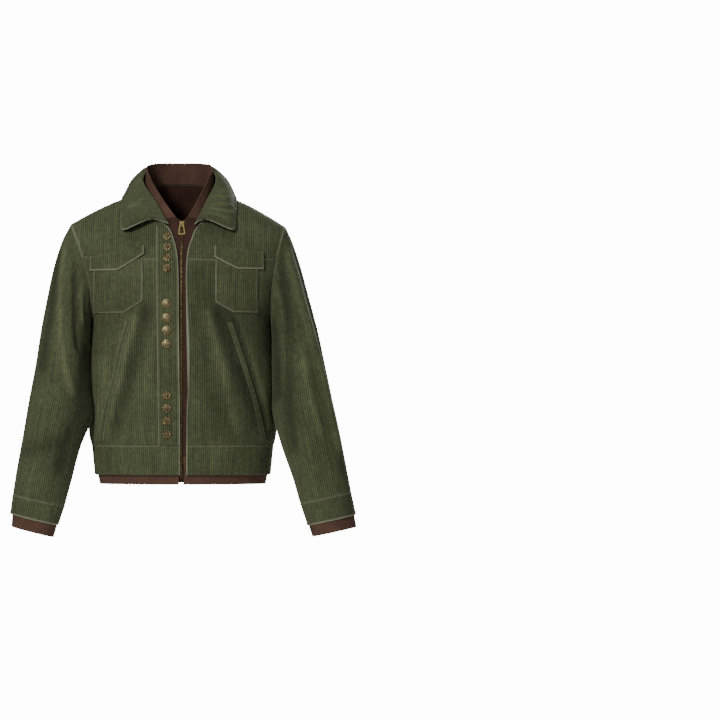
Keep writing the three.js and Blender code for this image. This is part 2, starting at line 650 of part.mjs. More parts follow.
// Moves a point out until it clears the torso by a gap
function liftedClear(p, gap, samples) {
  let nearest = samples[0];
  let best = Infinity;
  samples.forEach((sample) => {
    const d = sample.at.distanceToSquared(p);
    if (d < best) {
      best = d;
      nearest = sample;
    }
  });
  const height = p.clone().sub(nearest.at).dot(nearest.normal);
  return height < gap ? movedOut(p, nearest.normal, gap - height) : p;
}

function torsoSamples() {
  const samples = [];
  [RIGHT, LEFT].forEach((side) => ['front', 'back'].forEach((face) => {
    for (let i = 0; i <= 40; i += 1) {
      for (let j = 0; j <= 24; j += 1) {
        const u = 0.02 + 0.95 * i / 40;
        const v = lerp(0.7, 0.998, j / 24);
        samples.push({ at: torso(side, face, u, v), normal: torsoNormal(side, face, u, v) });
      }
    }
  }));
  return samples;
}

// Goes round the collar from its right front end to its left one
function roundCollar(a, at) {
  const side = a < 0.5 ? RIGHT : LEFT;
  return at(side, Math.abs(2 * a - 1));
}

// A point moved towards the neck's middle, in plan
function towardNeck(p, amount) {
  const flat = point(p.x - COLLAR_LEAN, p.y, 0).normalize();
  return movedOut(p, flat, -amount);
}

function leafPoint(side, q, b) {
  const roll = collarLine(side, 'roll', q);
  const edge = collarLine(side, 'edge', q);
  const tuck = towardNeck(roll, 3.5);
  tuck.z -= 0.6;
  if (b === 0) return tuck;
  const t = (b - 0.1) / 0.9;
  const out = point(edge.x - roll.x, edge.y - roll.y, 0).normalize();
  const p = roll.clone().lerp(edge, t);
  p.addScaledVector(out, LEAF_BULGE * Math.sin(Math.PI * t) * 0.5);
  p.z += LEAF_BULGE * Math.sin(Math.PI * t) * (1 - 0.6 * q) + 0.8 * (1 - t);
  return p;
}

function addCollar() {
  const samples = torsoSamples();
  const rowsB = [0, 0.1, 0.3, 0.55, 0.8, 1];
  const ends = 0.008;
  const leaf = rowsB.map((b) => (
    Array.from({ length: 41 }, (_, i) => roundCollar(lerp(ends, 1 - ends, i / 40), (side, q) => (
      b < 0.2 ? leafPoint(side, q, b) : liftedClear(leafPoint(side, q, b), CORDUROY + 1.6, samples)
    )))
  ));
  const stand = gridOf(3, 41, (a, b) => roundCollar(lerp(0.02, 0.98, a), (side, q) => {
    const foot = collarLine(side, 'neck', q);
    foot.z += 1.2;
    const head = towardNeck(collarLine(side, 'roll', q), 3.2);
    head.z -= 2.7;
    return foot.lerp(head, b);
  }));
  const inner = gridOf(5, 41, (a, b) => roundCollar(a, (side, q) => {
    const foot = towardNeck(collarLine(side, 'neck', q), 7.5);
    foot.z -= 12 * (1 - q ** 3);
    return foot.lerp(collarLine(side, 'brown', q), b);
  }));
  const middle = point(COLLAR_LEAN, 0, 30);
  addMesh('collar_leaf', wall(leaf, CORDUROY, middle), GREEN_EDGE);
  addMesh('collar_stand', wall(stand, CORDUROY, middle), GREEN);
  addMesh('inner_collar', wall(inner, KNIT, middle), BROWN);
}

// The button band: a strip on the right front, from its edge outwards
function addButtonBand() {
  const band = gridOf(22, 5, (a, b) => {
    const z = lerp(HEM_TOP + 1, BAND_TOP, b);
    const edge = read(FRONT_EDGE, 'z', 'right', z);
    const outer = lerp(BAND_OUTER_BOTTOM, BAND_OUTER_TOP, b);
    return onFront(RIGHT, lerp(edge, outer, a), z, LAY_GAP + BAND_THICKNESS);
  });
  addMesh('button_band', wall(band, BAND_THICKNESS, TORSO_MIDDLE), GREEN_EDGE);
}

// Round domed studs that stand on the button band
function addStuds() {
  const profile = (radius) => [
    new THREE.Vector2(0, 0), new THREE.Vector2(radius * 0.92, 0), new THREE.Vector2(radius, 0.7),
    new THREE.Vector2(radius * 0.93, 1.7), new THREE.Vector2(radius * 0.6, STUD_HEIGHT - 0.5),
    new THREE.Vector2(0, STUD_HEIGHT),
  ];
  STUDS.forEach(({ name, rows, x, diameter }) => rows.forEach((z, i) => {
    const foot = onFront(RIGHT, x, z, LAY_GAP + BAND_THICKNESS + 0.35);
    const normal = onFront(RIGHT, x, z, 1).sub(onFront(RIGHT, x, z, 0)).normalize();
    const mesh = addMesh(`stud_${name}_${i + 1}`,
      new THREE.LatheGeometry(profile(diameter / 2), STUD_SIDES), BRASS, 0.45, 0.9);
    mesh.position.copy(foot);
    mesh.quaternion.setFromUnitVectors(point(0, 1, 0), normal);
  }));
}

// Height of the slanted lower edge of a pocket or flap
function lowerEdge({ inner, bottom, cutX, cutZ }, x) {
  return bottom + (cutZ - bottom) * Math.max((x - cutX) / (inner - cutX), 0);
}

// Shares across a pocket or flap, with one column on the corner of the slant
function columnsAcross({ outer, inner, cutX }, toCut, toInner) {
  const shares = [];
  for (let i = 0; i <= toCut; i += 1) shares.push(lerp(outer, cutX, i / toCut));
  for (let i = 1; i <= toInner; i += 1) shares.push(lerp(cutX, inner, i / toInner));
  return shares;
}

function addChestPocket(side) {
  const shape = CHEST_POCKET[side];
  const columns = columnsAcross(shape, 6, 4);
  const grid = Array.from({ length: 11 }, (_, j) => columns.map((x) => (
    onFront(side, x, lerp(lowerEdge(shape, x), shape.top, j / 10), LAY_GAP + POCKET_THICKNESS)
  )));
  addMesh(`chest_pocket_${sideName(side)}`, wall(grid, POCKET_THICKNESS, TORSO_MIDDLE), GREEN);
}

function addFlap(side) {
  const shape = FLAP[side];
  const columns = columnsAcross(shape, 6, 5);
  const lift = 2 * LAY_GAP + POCKET_THICKNESS + FLAP_THICKNESS + 0.4;
  const grid = Array.from({ length: 5 }, (_, j) => columns.map((x) => {
    const top = lerp(shape.topOuter, shape.topInner, (x - shape.outer) / (shape.inner - shape.outer));
    const z = lerp(lowerEdge(shape, x), top, j / 4);
    return onFront(side, x, z, lift);
  }));
  addMesh(`pocket_flap_${sideName(side)}`, wall(grid, FLAP_THICKNESS, TORSO_MIDDLE), GREEN_EDGE);
}

// The raised edge of a slanted side pocket
function addWelt(side) {
  const route = SIDE_POCKET[side];
  const knots = route.map((_, i) => i / (route.length - 1));
  const grid = gridOf(14, 3, (a, b) => {
    const x = curveAt(knots, route.map((p) => p[0]), b);
    const z = curveAt(knots, route.map((p) => p[1]), b);
    return onFront(side, x - side * WELT_WIDTH * a, z, LAY_GAP + WELT_THICKNESS);
  });
  addMesh(`side_pocket_welt_${sideName(side)}`, wall(grid, WELT_THICKNESS, TORSO_MIDDLE), GREEN_EDGE);
}

// The brown facing's outer face: just behind the green fronts, and straight over the hem band
function facingPoint(x, z) {
  const side = x < 0 ? RIGHT : LEFT;
  const behind = -CORDUROY - lerp(FACING_GAP, FACING_GAP_TOP, smoothstep(z, -100, -45));
  if (z >= BLOUSE_Z) return onFront(side, x, z, behind);
  const ring = BODY[0];
  const taper = HEM_TAPER * (HEM_TOP - z) / (HEM_TOP - HEM_BOTTOM) + 0.4;
  const share = Math.abs(x) / (ring.half - taper);
  const depth = (ring.front + SIDE_SEAM_Y - taper + behind) * (1 - share ** BODY_SQUARENESS) ** (1 / BODY_SQUARENESS);
  const hemward = point(x, SIDE_SEAM_Y - depth, z);
  if (z <= HEM_TOP + 1) return hemward;
  const above = onFront(side, x, BLOUSE_Z, behind);
  return point(x, lerp(above.y, hemward.y, (BLOUSE_Z - z) / (BLOUSE_Z - HEM_TOP)), z);
}

function facingTop(x) {
  return curveAt(FACING_TOP.map((p) => p[0]), FACING_TOP.map((p) => p[1]), Math.abs(x));
}

function addZip() {
  [RIGHT, LEFT].forEach((side) => {
    const facing = gridOf(27, 5, (a, b) => {
      const width = lerp(FACING_WIDTH, FACING_WIDTH_TOP, smoothstep(b, 0.87, 0.98));
      const x = side * (CHAIN_WIDTH / 2 + 0.2 + a * width);
      return facingPoint(x, lerp(RIB_TOP + 2, facingTop(x), b));
    });
    addMesh(`zip_facing_${sideName(side)}`, wall(facing, KNIT, TORSO_MIDDLE), BROWN);
  });
  const chain = gridOf(30, 3, (a, b) => {
    const p = facingPoint((a - 0.5) * CHAIN_WIDTH, lerp(ZIP_BOTTOM, ZIP_TOP, b));
    p.y -= 0.4;
    return p;
  });
  addMesh('zip_chain', wall(chain, CHAIN_THICKNESS, TORSO_MIDDLE), BRASS, 0.4, 0.9);
}

// A geometry as a solid that can be joined to others
function solidOf(geometry) {
  const bare = geometry.clone();
  bare.deleteAttribute('normal');
  bare.deleteAttribute('uv');
  const merged = mergeVertices(bare, 1e-4);
  return new wasm.Manifold(new wasm.Mesh({
    numProp: 3,
    vertProperties: merged.attributes.position.array,
    triVerts: new Uint32Array(merged.index.array),
  }));
}

function geometryOf(solid) {
  const { vertProperties, triVerts } = solid.getMesh();
  const geometry = new THREE.BufferGeometry();
  geometry.setAttribute('position', new THREE.Float32BufferAttribute(vertProperties, 3));
  geometry.setIndex(Array.from(triVerts));
  return geometry;
}

// A prism along x from a closed outline of [y, z] points, centred on x = 0
function prismAlongX(outline, width) {
  const shape = new THREE.Shape(outline.map(([y, z]) => new THREE.Vector2(y, z)));
  const geometry = new THREE.ExtrudeGeometry(shape, { depth: width, bevelEnabled: false });
  geometry.applyMatrix4(new THREE.Matrix4().makeBasis(point(0, 1, 0), point(0, 0, 1), point(1, 0, 0)));
  return geometry.translate(-width / 2, 0, 0);
}

// Slider and pull tab, in a frame whose x-z plane lies on the facing, with y pointing into it
function addSlider() {
  const frame = new THREE.Group();
  frame.position.copy(facingPoint(0, SLIDER.z));
  const upper = facingPoint(0, SLIDER.z + 5);
  const lower = facingPoint(0, SLIDER.z - 5);
  frame.rotation.x = -Math.atan2(upper.y - lower.y, upper.z - lower.z);
  jacket.add(frame);
  const faceY = -SLIDER.play - SLIDER.plate;
  const backY = KNIT + SLIDER.play;
  const half = SLIDER.height / 2;
  const plate = (width, from, to, drop) => prismAlongX([[from, -half], [to, -half], [to, half - drop],
    [from, half - drop]], width);
  const crownOuter = CROWN.height / 2 + CROWN.wall;
  const crownInner = CROWN.height / 2;
  const crownDepth = faceY - CROWN.opening;
  const crown = prismAlongX([
    [faceY + 0.5, -crownOuter], [crownDepth, -crownOuter], [crownDepth - CROWN.wall, -crownInner],
    [crownDepth - CROWN.wall, crownInner], [crownDepth, crownOuter], [faceY + 0.5, crownOuter],
    [faceY + 0.5, crownInner], [crownDepth, crownInner], [crownDepth, -crownInner], [faceY + 0.5, -crownInner],
  ].reverse(), CROWN.width);
  const slider = solidOf(plate(SLIDER.width, faceY, -SLIDER.play, 0))
    .add(solidOf(plate(SLIDER.web, -SLIDER.play - 0.5, backY + 0.5, 1)))
    .add(solidOf(plate(SLIDER.width - 1, backY, backY + SLIDER.backPlate, 1)))
    .add(solidOf(crown));
  const body = addMesh('zip_slider', geometryOf(slider), BRASS, 0.4, 0.9);
  frame.add(body);

  const halfTop = TAB.topWidth / 2;
  const halfBottom = TAB.bottomWidth / 2;
  const top = TAB.topBar / 2;
  const bottom = top - TAB.length;
  const outline = new THREE.Shape([[-halfTop, top], [-halfBottom, bottom + 2], [-halfBottom + 2, bottom],
    [halfBottom - 2, bottom], [halfBottom, bottom + 2], [halfTop, top]].map(([x, z]) => new THREE.Vector2(x, z)));
  const holeTop = halfTop - TAB.sideBar;
  const holeBottom = halfBottom - TAB.sideBar - 0.6;
  outline.holes.push(new THREE.Path([[-holeTop, -top], [holeTop, -top], [holeBottom, bottom + TAB.bottomBar],
    [-holeBottom, bottom + TAB.bottomBar]].map(([x, z]) => new THREE.Vector2(x, z))));
  const tab = new THREE.ExtrudeGeometry(outline, { depth: TAB.thickness, bevelEnabled: false });
  tab.translate(0, 0, -TAB.thickness / 2).rotateX(Math.PI / 2);
  const pull = addMesh('zip_pull_tab', tab, BRASS, 0.4, 0.9);
  pull.position.y = faceY - CROWN.opening / 2;
  frame.add(pull);
}

[RIGHT, LEFT].forEach((side) => {
  addFront(side);
  addSleeve(side);
  addCuff(side);
  addChestPocket(side);
  addFlap(side);
  addWelt(side);
});
addBack();
addHem();
addCollar();
addButtonBand();
addStuds();
addZip();
addSlider();

export default jacket;
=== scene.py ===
"""Corduroy jacket with a brown knit lining: cloth with raised wales, stitching, zip and studs.

Lengths in the tables are millimetres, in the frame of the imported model: +Z up, +X to the wearer's
left, the front towards -Y, the origin between the shoulders.
"""
import math

import bpy
import numpy as np
from bpy.props import FloatProperty, FloatVectorProperty, PointerProperty
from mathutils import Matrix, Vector


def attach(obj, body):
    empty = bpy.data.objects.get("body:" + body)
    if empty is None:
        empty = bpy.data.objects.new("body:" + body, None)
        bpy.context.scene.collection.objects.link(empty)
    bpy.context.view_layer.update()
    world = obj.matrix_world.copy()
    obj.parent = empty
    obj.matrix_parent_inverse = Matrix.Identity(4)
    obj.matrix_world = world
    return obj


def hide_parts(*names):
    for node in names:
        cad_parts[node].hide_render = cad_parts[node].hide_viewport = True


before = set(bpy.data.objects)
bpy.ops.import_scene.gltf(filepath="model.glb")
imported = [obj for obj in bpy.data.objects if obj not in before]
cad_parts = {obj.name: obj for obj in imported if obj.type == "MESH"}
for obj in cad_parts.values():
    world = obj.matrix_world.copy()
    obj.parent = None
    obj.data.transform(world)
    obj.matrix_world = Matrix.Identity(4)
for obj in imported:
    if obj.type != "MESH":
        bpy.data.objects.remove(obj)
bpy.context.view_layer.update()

bl_info = {
    "name": "Corduroy jacket",
    "version": (1, 0, 0),
    "blender": (4, 5, 0),
    "location": "3D View > Sidebar > Jacket",
    "description": "Makes a corduroy jacket with a knit lining, piece by piece",
    "category": "Add Mesh",
}

MM = 0.001
RIGHT, LEFT = -1, 1
SIDES = {RIGHT: "right", LEFT: "left"}

# Cloth and seams
CORDUROY = 2.0
KNIT = 1.6
KNIT_COLUMN = 2.4
RIB_WALE = (KNIT_COLUMN, 0.35)
SMOOTH_WALE = (KNIT_COLUMN, 0.3)
TURNED_ROWS = 3
LAY_GAP = 0.8

# Rings of the body below the arms: v, z, half width, lean to the left, depth in front and behind
SIDE_SEAM_Y = 8
BODY = np.array([
    (0.0, -497, 188, -1, 114, 109),
    (0.035, -479, 193, -1, 120, 115),
    (0.13, -430, 196, -1, 126, 119),
    (0.31, -340, 193, -3, 126, 117),
    (0.5, -243, 185, -4, 123, 113),
])
BODY_SQUARENESS = 2.15

# Rows above the underarm: v, z and depth in front, z and depth behind, turn in degrees
UNDERARM_V = 0.5
UNDERARM_Z = -243
CHEST = np.array([
    (0.65, -181, 119, -172, 114, 80),
    (0.76, -134, 113, -114, 112, 68),
    (0.87, -84, 101, -50, 99, 56),
])
YOKE_V = 0.8
HOLD_POWER = 6
TOP_V = 1.0
NECK_SHARE = 0.42
NECK_PIT = (0.12, -86, -41)
COLUMN_KNOTS = np.concatenate([BODY[:, 0], CHEST[:, 0], [TOP_V, TOP_V + 0.17]])

# Armholes: shoulder tip, underarm and how far the seam bends towards the chest
ARMHOLE = {RIGHT: ((-232, -40), (-189, -243), 13), LEFT: ((212, -46), (181, -243), 9)}
ARMHOLE_FRONT = 66
ARMHOLE_BACK = 64

# Lines of the collar from the centre back to the front end; x counts outwards
COLLAR_Q = np.array([0, 0.15, 0.3, 0.45, 0.6, 0.75, 0.865, 0.88, 0.895, 0.94, 1])
COLLAR = {
    "neck": np.array([(0, 66, 45), (36, 61, 43), (66, 40, 36), (82, 10, 26), (80, -24, 12),
                      (68, -52, -6), (52.1, -68.1, -18.5), (50, -70, -20), (48, -71.7, -21.4),
                      (42, -76, -25), (34, -81, -31)]),
    "roll": np.array([(0, 58, 86), (32, 54, 86), (60, 36, 83), (76, 10, 72), (79, -16, 54),
                      (71, -40, 34), (58, -57.6, 13.3), (56, -60, 10), (53.8, -62.5, 6.4),
                      (45, -71, -9), (26, -87.5, -43)]),
    "edge": np.array([(0, 90, 41), (48, 86, 40), (92, 62, 33), (115, 26, 20), (118, -14, 0),
                      (119, -50, -28), (117.3, -80, -53.5), (116.5, -84, -57), (111, -86.3, -54.4),
                      (80, -91, -40.5), (54, -86.5, -31)]),
    "brown": np.array([(0, 50, 88), (29, 46, 88), (54, 29, 86), (68, 5, 79), (61, -24, 56),
                       (50, -50, 34), (37.1, -66, 11.5), (35, -68, 8), (32.3, -70.1, 3.7),
                       (22, -76, -12), (12, -82, -27)]),
}
COLLAR_LEAN = -8
SHOULDER_Q = 0.45
LEAF_BULGE = 9
LEAF_ROWS = np.array([0, 0.1, 0.3, 0.55, 0.8, 1])

# Sleeve, cuff and cuff rib sections: s, outer x and z, inner x and z, y of the middle, half depth
SLEEVE = {
    RIGHT: np.array([
        (0.0, -232, -40, -189, -243, 4, 65), (0.07, -250, -75, -189, -262, 0, 66),
        (0.18, -266, -126, -190, -286, -9, 67), (0.32, -279, -188, -190, -318, -20, 67),
        (0.46, -292, -259, -189, -352, -31, 66), (0.58, -303, -333, -187, -392, -41, 64),
        (0.69, -316, -404, -183, -432, -49, 62), (0.82, -328, -478, -210, -502, -58, 58),
        (0.92, -339, -540, -226, -564, -66, 54), (1.0, -348, -598, -241, -621, -72, 50),
    ]),
    LEFT: np.array([
        (0.0, 212, -46, 181, -243, 4, 65), (0.07, 226, -77, 182, -262, 0, 66),
        (0.18, 243, -128, 183, -286, -9, 67), (0.32, 260, -190, 183, -318, -20, 67),
        (0.46, 279, -261, 184, -352, -31, 66), (0.58, 295, -335, 185, -392, -41, 64),
        (0.69, 310, -406, 186, -432, -49, 62), (0.82, 326, -478, 205, -500, -58, 58),
        (0.92, 338, -540, 227, -562, -66, 54), (1.0, 348, -592, 243, -616, -72, 50),
    ]),
}
SLEEVE_SEAM = 0.7
BODY_CLEARANCE = 1.2
CUFF = {
    RIGHT: np.array([(0, -348, -598, -241, -621, -72, 50), (1, -353, -636, -254, -660, -77, 47)]),
    LEFT: np.array([(0, 348, -592, 243, -616, -72, 50), (1, 358, -638, 258, -661, -77, 47)]),
}
RIB_END = {RIGHT: (-350, -663, -263.5, -685, -79, 41), LEFT: (359, -664, 268, -684, -79, 41)}
RIB_START = 0.4
RIB_INSET = 3.2
CUFF_SLIT_ANGLE = 0.035

# Folds: the points of a fold's line, its width and height. On a sleeve the points are degrees
# round it and share of its length.
# The heights of these folds also set painted shade in their hollows and a painted highlight on their
# crests
BODY_FOLDS = {
    "front": [
        (((-74, -222), (-106, -345), (-138, -450)), 15, -4.5),
        (((-98, -240), (-124, -330), (-148, -440)), 13, 5),
        (((84, -228), (120, -330), (162, -440)), 16, -6),
        (((58, -225), (84, -330), (118, -470)), 12, 3.5),
        (((142, -290), (170, -400)), 10, 3),
        (((60, -170), (100, -470)), 52, -1.8), (((-166, -330), (-164, -480)), 15, 3.2),
        (((176, -320), (180, -460)), 10, 3),
        (((109, -235), (137, -325), (164, -420), (176, -472)), 6, -3.2),
    ],
    "back": [
        (((46, -120), (58, -450)), 17, -5), (((-66, -130), (-80, -452)), 18, -5),
        (((-126, -170), (-132, -440)), 13, 3.5), (((122, -180), (136, -446)), 14, -4),
        (((-8, -200), (2, -455)), 15, 3.5),
    ],
}
SLEEVE_FOLDS = {
    RIGHT: [
        (((24, 0.05), (64, 0.25), (91, 0.49), (112, 0.6)), 11, 5.5),
        (((22, 0.12), (40, 0.37), (38, 0.56)), 15, -5),
        (((65, 0.05), (101, 0.2), (120, 0.37)), 9, -5.5), (((95, 0.06), (118, 0.16)), 8, 4),
        (((150, 0.3), (140, 0.6), (125, 0.88)), 24, -5),
        (((130, 0.8), (30, 0.87)), 12, -2), (((-165, 0.6), (-80, 0.66)), 14, -3),
        (((-130, 0.82), (-20, 0.9)), 13, -2),
    ],
    LEFT: [
        (((42, 0.08), (47, 0.26), (40, 0.455), (31, 0.633), (30, 0.85)), 13, 5.5),
        (((67, 0.04), (92, 0.33), (114, 0.6), (130, 0.82)), 14, -5.5),
        (((71, 0.52), (68, 0.785)), 10, 3.5),
        (((138, 0.12), (138, 0.35), (150, 0.6)), 18, -5),
        (((20, 0.1), (22, 0.4), (12, 0.6)), 9, -3), (((-168, 0.58), (-84, 0.67)), 14, -3),
        (((-126, 0.81), (-26, 0.89)), 13, -2),
    ],
}
SLEEVE_LENGTH = 575
SLEEVE_RADIUS = 62

# Creases of the collar on the left shoulder: points in x and z, width and height
# The heights of these creases also set a painted highlight along them
LEAF_CREASES = [
    (((58, 14), (76, 17), (94, 15)), 2.4, 0.9), (((62, -2), (84, 0), (104, -3)), 2.4, 0.9),
    (((58, -9), (80, -12), (106, -18)), 2.4, 1.0), (((56, -19), (78, -23), (98, -31)), 2.4, 0.8),
    (((74, 34), (86, 28)), 3, 0.6), (((-84, 10), (-108, -6)), 4, 0.6),
]

# Front edges beside the zip: z, x of the right edge, x of the left edge
FRONT_EDGE = np.array([
    (-620, -2.5, 11), (-497, -2.5, 10), (-430, -2, 11), (-390, -2.5, 13), (-300, -5, 14.5),
    (-220, -4.5, 11.5), (-160, -5, 9), (-120, -6.5, 10), (-94, -10, 13), (-72, -16, 20),
    (-52, -25, 28), (-36, -42, 42), (-26, -58, 54), (40, -80, 74),
])

# Hem band and its brown rib
HEM_TOP, HEM_BOTTOM, HEM_TAPER = -497, -557, 6
RIB_TOP, RIB_BOTTOM, RIB_TAPER = -520, -577, 12
HEM_EDGES = {RIGHT: 1.5, LEFT: 11}
RIB_EDGES = {RIGHT: 4.6, LEFT: 4.6}

# Button band and studs
BAND_OUTER_TOP, BAND_OUTER_BOTTOM, BAND_TOP, BAND_THICKNESS = -52, -46.5, -46, 1.8
STUDS = {
    "top": ((-68, -90, -111.5, -133), -29.5, 17.5),
    "middle": ((-205.5, -234.5, -260, -288), -29.5, 19.5),
    "bottom": ((-393.5, -420, -446, -473), -29, 18.5),
}
STUD_LIFT = LAY_GAP + BAND_THICKNESS + 0.35

# Pockets and flaps: outer, inner, top at the outer and inner corner, bottom, start of the slant,
# height of the slant's inner end
CHEST_POCKET = {
    RIGHT: (-181, -79, -112, -112, -224, -118, -199),
    LEFT: (155, 69.5, -112, -112, -223, 107, -202),
}
FLAP = {
    RIGHT: (-186.5, -76.5, -107, -86, -137, -131, -104),
    LEFT: (166, 67.5, -99, -86, -134, 114, -110),
}
POCKET_THICKNESS = 1.6
FLAP_THICKNESS = 1.8

# Slanted side pockets, from the top down
SIDE_POCKET = {
    RIGHT: np.array([(-114, -243), (-122.5, -273), (-131, -304), (-141.5, -358), (-155, -404),
                     (-166, -455), (-170, -488)]),
    LEFT: np.array([(104, -243), (114, -275), (131, -325), (145.5, -373), (158.5, -420),
                    (168, -465), (171, -488)]),
}
WELT_WIDTH = 11
WELT_THICKNESS = 1.4
WELT_WEAR = {RIGHT: 0.5, LEFT: 0.1}

# Zip
FACING_WIDTH, FACING_WIDTH_TOP = 34, 48
FACING_TOP = np.array([(0, -33), (6, -32), (12, -27.4), (24, -29.8), (32, -32), (40, -34), (52, -38)])
FACING_TOP_Y = np.array([(0, -78), (6, -79), (12, -82), (31, -74.4), (52, -71)])
FACING_GAP, FACING_GAP_TOP = 0.8, 4.4
FACING_BOTTOM, FACING_TAIL = -556, 4.2
BLOUSE_Z = -466
ZIP_TOP, ZIP_BOTTOM = -48, -570
CHAIN_WIDTH, CHAIN_THICKNESS = 5.2, 2.4

# Stitches
STITCH_LENGTH = 3.1
STITCH_PITCH = 4.0
STITCH_RADIUS = 0.42
STITCH_LIFT = 0.25

TORSO_MIDDLE = np.array([0.0, 0, -200])

# Stage and camera; the camera's place, the frame's width and the lights' target are metres
FLOOR_Z = -1321
FLOOR_RADIUS = 3000
LIGHT_TARGET = (0, 0, -0.3)
CAMERA_PLACE = (0.366, -11.0, -0.321)
FRAME_WIDTH = 1.490
SENSOR_WIDTH = 36


def lerp(a, b, t):
    """Straight from a to b as t goes from 0 to 1."""
    return a + (b - a) * t


def smoothstep(x, low, high):
    """Rises from 0 to 1 between low and high: 3 t squared less 2 t cubed."""
    t = np.clip((x - low) / (high - low), 0, 1)
    return t * t * (3 - 2 * t)


def stack(x, y, z):
    """Points from their three coordinates."""
    return np.stack(np.broadcast_arrays(x, y, z), axis=-1).astype(float)


def unit(vectors):
    """Vectors divided by their length."""
    return vectors / np.maximum(np.linalg.norm(vectors, axis=-1, keepdims=True), 1e-9)


def knot_weights(knots, t):
    """The four nearest knots of each t and their weights on a smooth curve: a cubic in each
    interval, whose slope at a knot is that of the chord between its neighbours."""
    knots = np.asarray(knots, float)
    t = np.asarray(t, float)
    last = len(knots) - 1
    i = np.clip(np.searchsorted(knots, t, side="left") - 1, 0, last - 1)
    near = np.stack([np.maximum(i - 1, 0), i, i + 1, np.minimum(i + 2, last)], axis=-1)
    at = knots[near]
    span = at[..., 2] - at[..., 1]
    f = (t - at[..., 1]) / span
    g = 1 - f
    first = span * f * g * g / (at[..., 2] - at[..., 0])
    second = span * f * f * g / (at[..., 3] - at[..., 1])
    weights = np.stack([-first, g * g * (1 + 2 * f) + second, f * f * (3 - 2 * f) + first,
                        -second], axis=-1)
    return near, weights


def curve_at(knots, values, t):
    """A table's values on the smooth curve through its knots."""
    near, weights = knot_weights(knots, t)
    values = np.asarray(values, float)
    if values.ndim == 1:
        return (values[near] * weights).sum(-1)
    return (values[near] * weights[..., None]).sum(-2)


def fold_height(folds, a, b):
    """Sum of soft ridges: height times exp(-(distance to the ridge's line / width) squared)."""
    total = np.zeros(np.broadcast(a, b).shape)
    for route, width, height in folds:
        nearest = np.full(total.shape, np.inf)
        for start, end in zip(route, route[1:]):
            along = np.subtract(end, start)
            share = ((a - start[0]) * along[0] + (b - start[1]) * along[1]) / (along ** 2).sum()
            share = np.clip(share, 0, 1)
            gap = np.hypot(a - start[0] - share * along[0], b - start[1] - share * along[1])
            nearest = np.minimum(nearest, gap)
        total += height * np.exp(-((nearest / width) ** 2))
    return total


def armhole(side, angle):
    """The armhole seam: an ellipse in front view, bent towards the chest by bow times sin squared.
    Angle 0 is the shoulder tip, pi the underarm; positive is the front."""
    tip, under, bow = ARMHOLE[side]
    c, s = np.cos(angle), np.sin(angle)
    x = (tip[0] + under[0]) / 2 + (tip[0] - under[0]) / 2 * c - side * bow * s * s
    z = (tip[1] + under[1]) / 2 + (tip[1] - under[1]) / 2 * c
    depth = np.where(s > 0, ARMHOLE_FRONT, ARMHOLE_BACK)
    return stack(x, SIDE_SEAM_Y * (1 - c) / 2 - depth * s, z)


def collar_line(side, line, q):
    """One of the collar's lines, with the collar's small lean to the right."""
    p = curve_at(COLLAR_Q, COLLAR[line], q)
    hold = 0 if line == "edge" else np.asarray(q) ** 4
    return stack(side * p[..., 0] + COLLAR_LEAN * (1 - hold), p[..., 1], p[..., 2])


def row_point(centre, edge, turn, squareness, u):
    """A row from the centre to the side: a quarter of a squared-off ellipse, cut at turn."""
    u = np.maximum(u, 0)
    reach = (np.sin(u * turn) / np.sin(turn)) ** (2 / squareness)
    depth = np.maximum((np.cos(u * turn) - np.cos(turn)) / (1 - np.cos(turn)), 0)
    return stack(
        lerp(centre[0], edge[..., 0], reach),
        lerp(edge[..., 1], centre[1], depth ** (2 / squareness)),
        lerp(centre[2], edge[..., 2], u * u * (3 - 2 * u)),
    )


def climb_angle(face, climb):
    """Share of the way up the armhole turned into its angle."""
    return (1 if face == "front" else -1) * np.pi * (1 - climb)


def side_edge(side, face, v):
    """A panel's side edge: the side seam, then the armhole."""
    v = np.asarray(v, float)
    climb = np.clip((v - UNDERARM_V) / (TOP_V - UNDERARM_V), 0, 1)
    half, lean, z = (curve_at(BODY[:, 0], BODY[:, k], v) for k in (2, 3, 1))
    return np.where((v >= UNDERARM_V)[..., None], armhole(side, climb_angle(face, climb)),
                    stack(side * half + lean, SIDE_SEAM_Y, z))


def chest_row(side, face, row, u):
    """A row of the CHEST table, above the underarm."""
    v, front_z, front, back_z, back, turn = row
    centre = (0, -front, front_z) if face == "front" else (0, back, back_z)
    return row_point(centre, side_edge(side, face, v), math.radians(turn), 2, u)


def body_row(side, face, row, u):
    """A row of the BODY table: a quarter of its squared-off ring."""
    _, z, half, lean, front, back = row
    centre = (0, -front if face == "front" else back, z)
    return row_point(centre, np.array([side * half + lean, SIDE_SEAM_Y, z]), np.pi / 2,
                     BODY_SQUARENESS, u)


def top_row(side, face, u):
    """The top row: the neckline, then the shoulder seam with its small rise."""
    share, pit_y, pit_z = NECK_PIT
    start = share if face == "front" else 0
    q = lerp(1.0 if face == "front" else 0.0, SHOULDER_Q, (u - start) / (NECK_SHARE - start))
    neckline = collar_line(side, "neck", np.clip(q, 0, 1))
    along = np.clip((u - NECK_SHARE) / (1 - NECK_SHARE), 0, 1)
    seam = lerp(collar_line(side, "neck", SHOULDER_Q), armhole(side, 0.0), along[..., None])
    seam[..., 2] += 5 * np.sin(along * np.pi)
    row = np.where((u <= NECK_SHARE)[..., None], neckline, seam)
    if face == "front":
        pit = lerp(np.array([0, pit_y, pit_z]), collar_line(side, "neck", 1.0),
                   (u / share)[..., None])
        row = np.where((u < share)[..., None], pit, row)
    return row


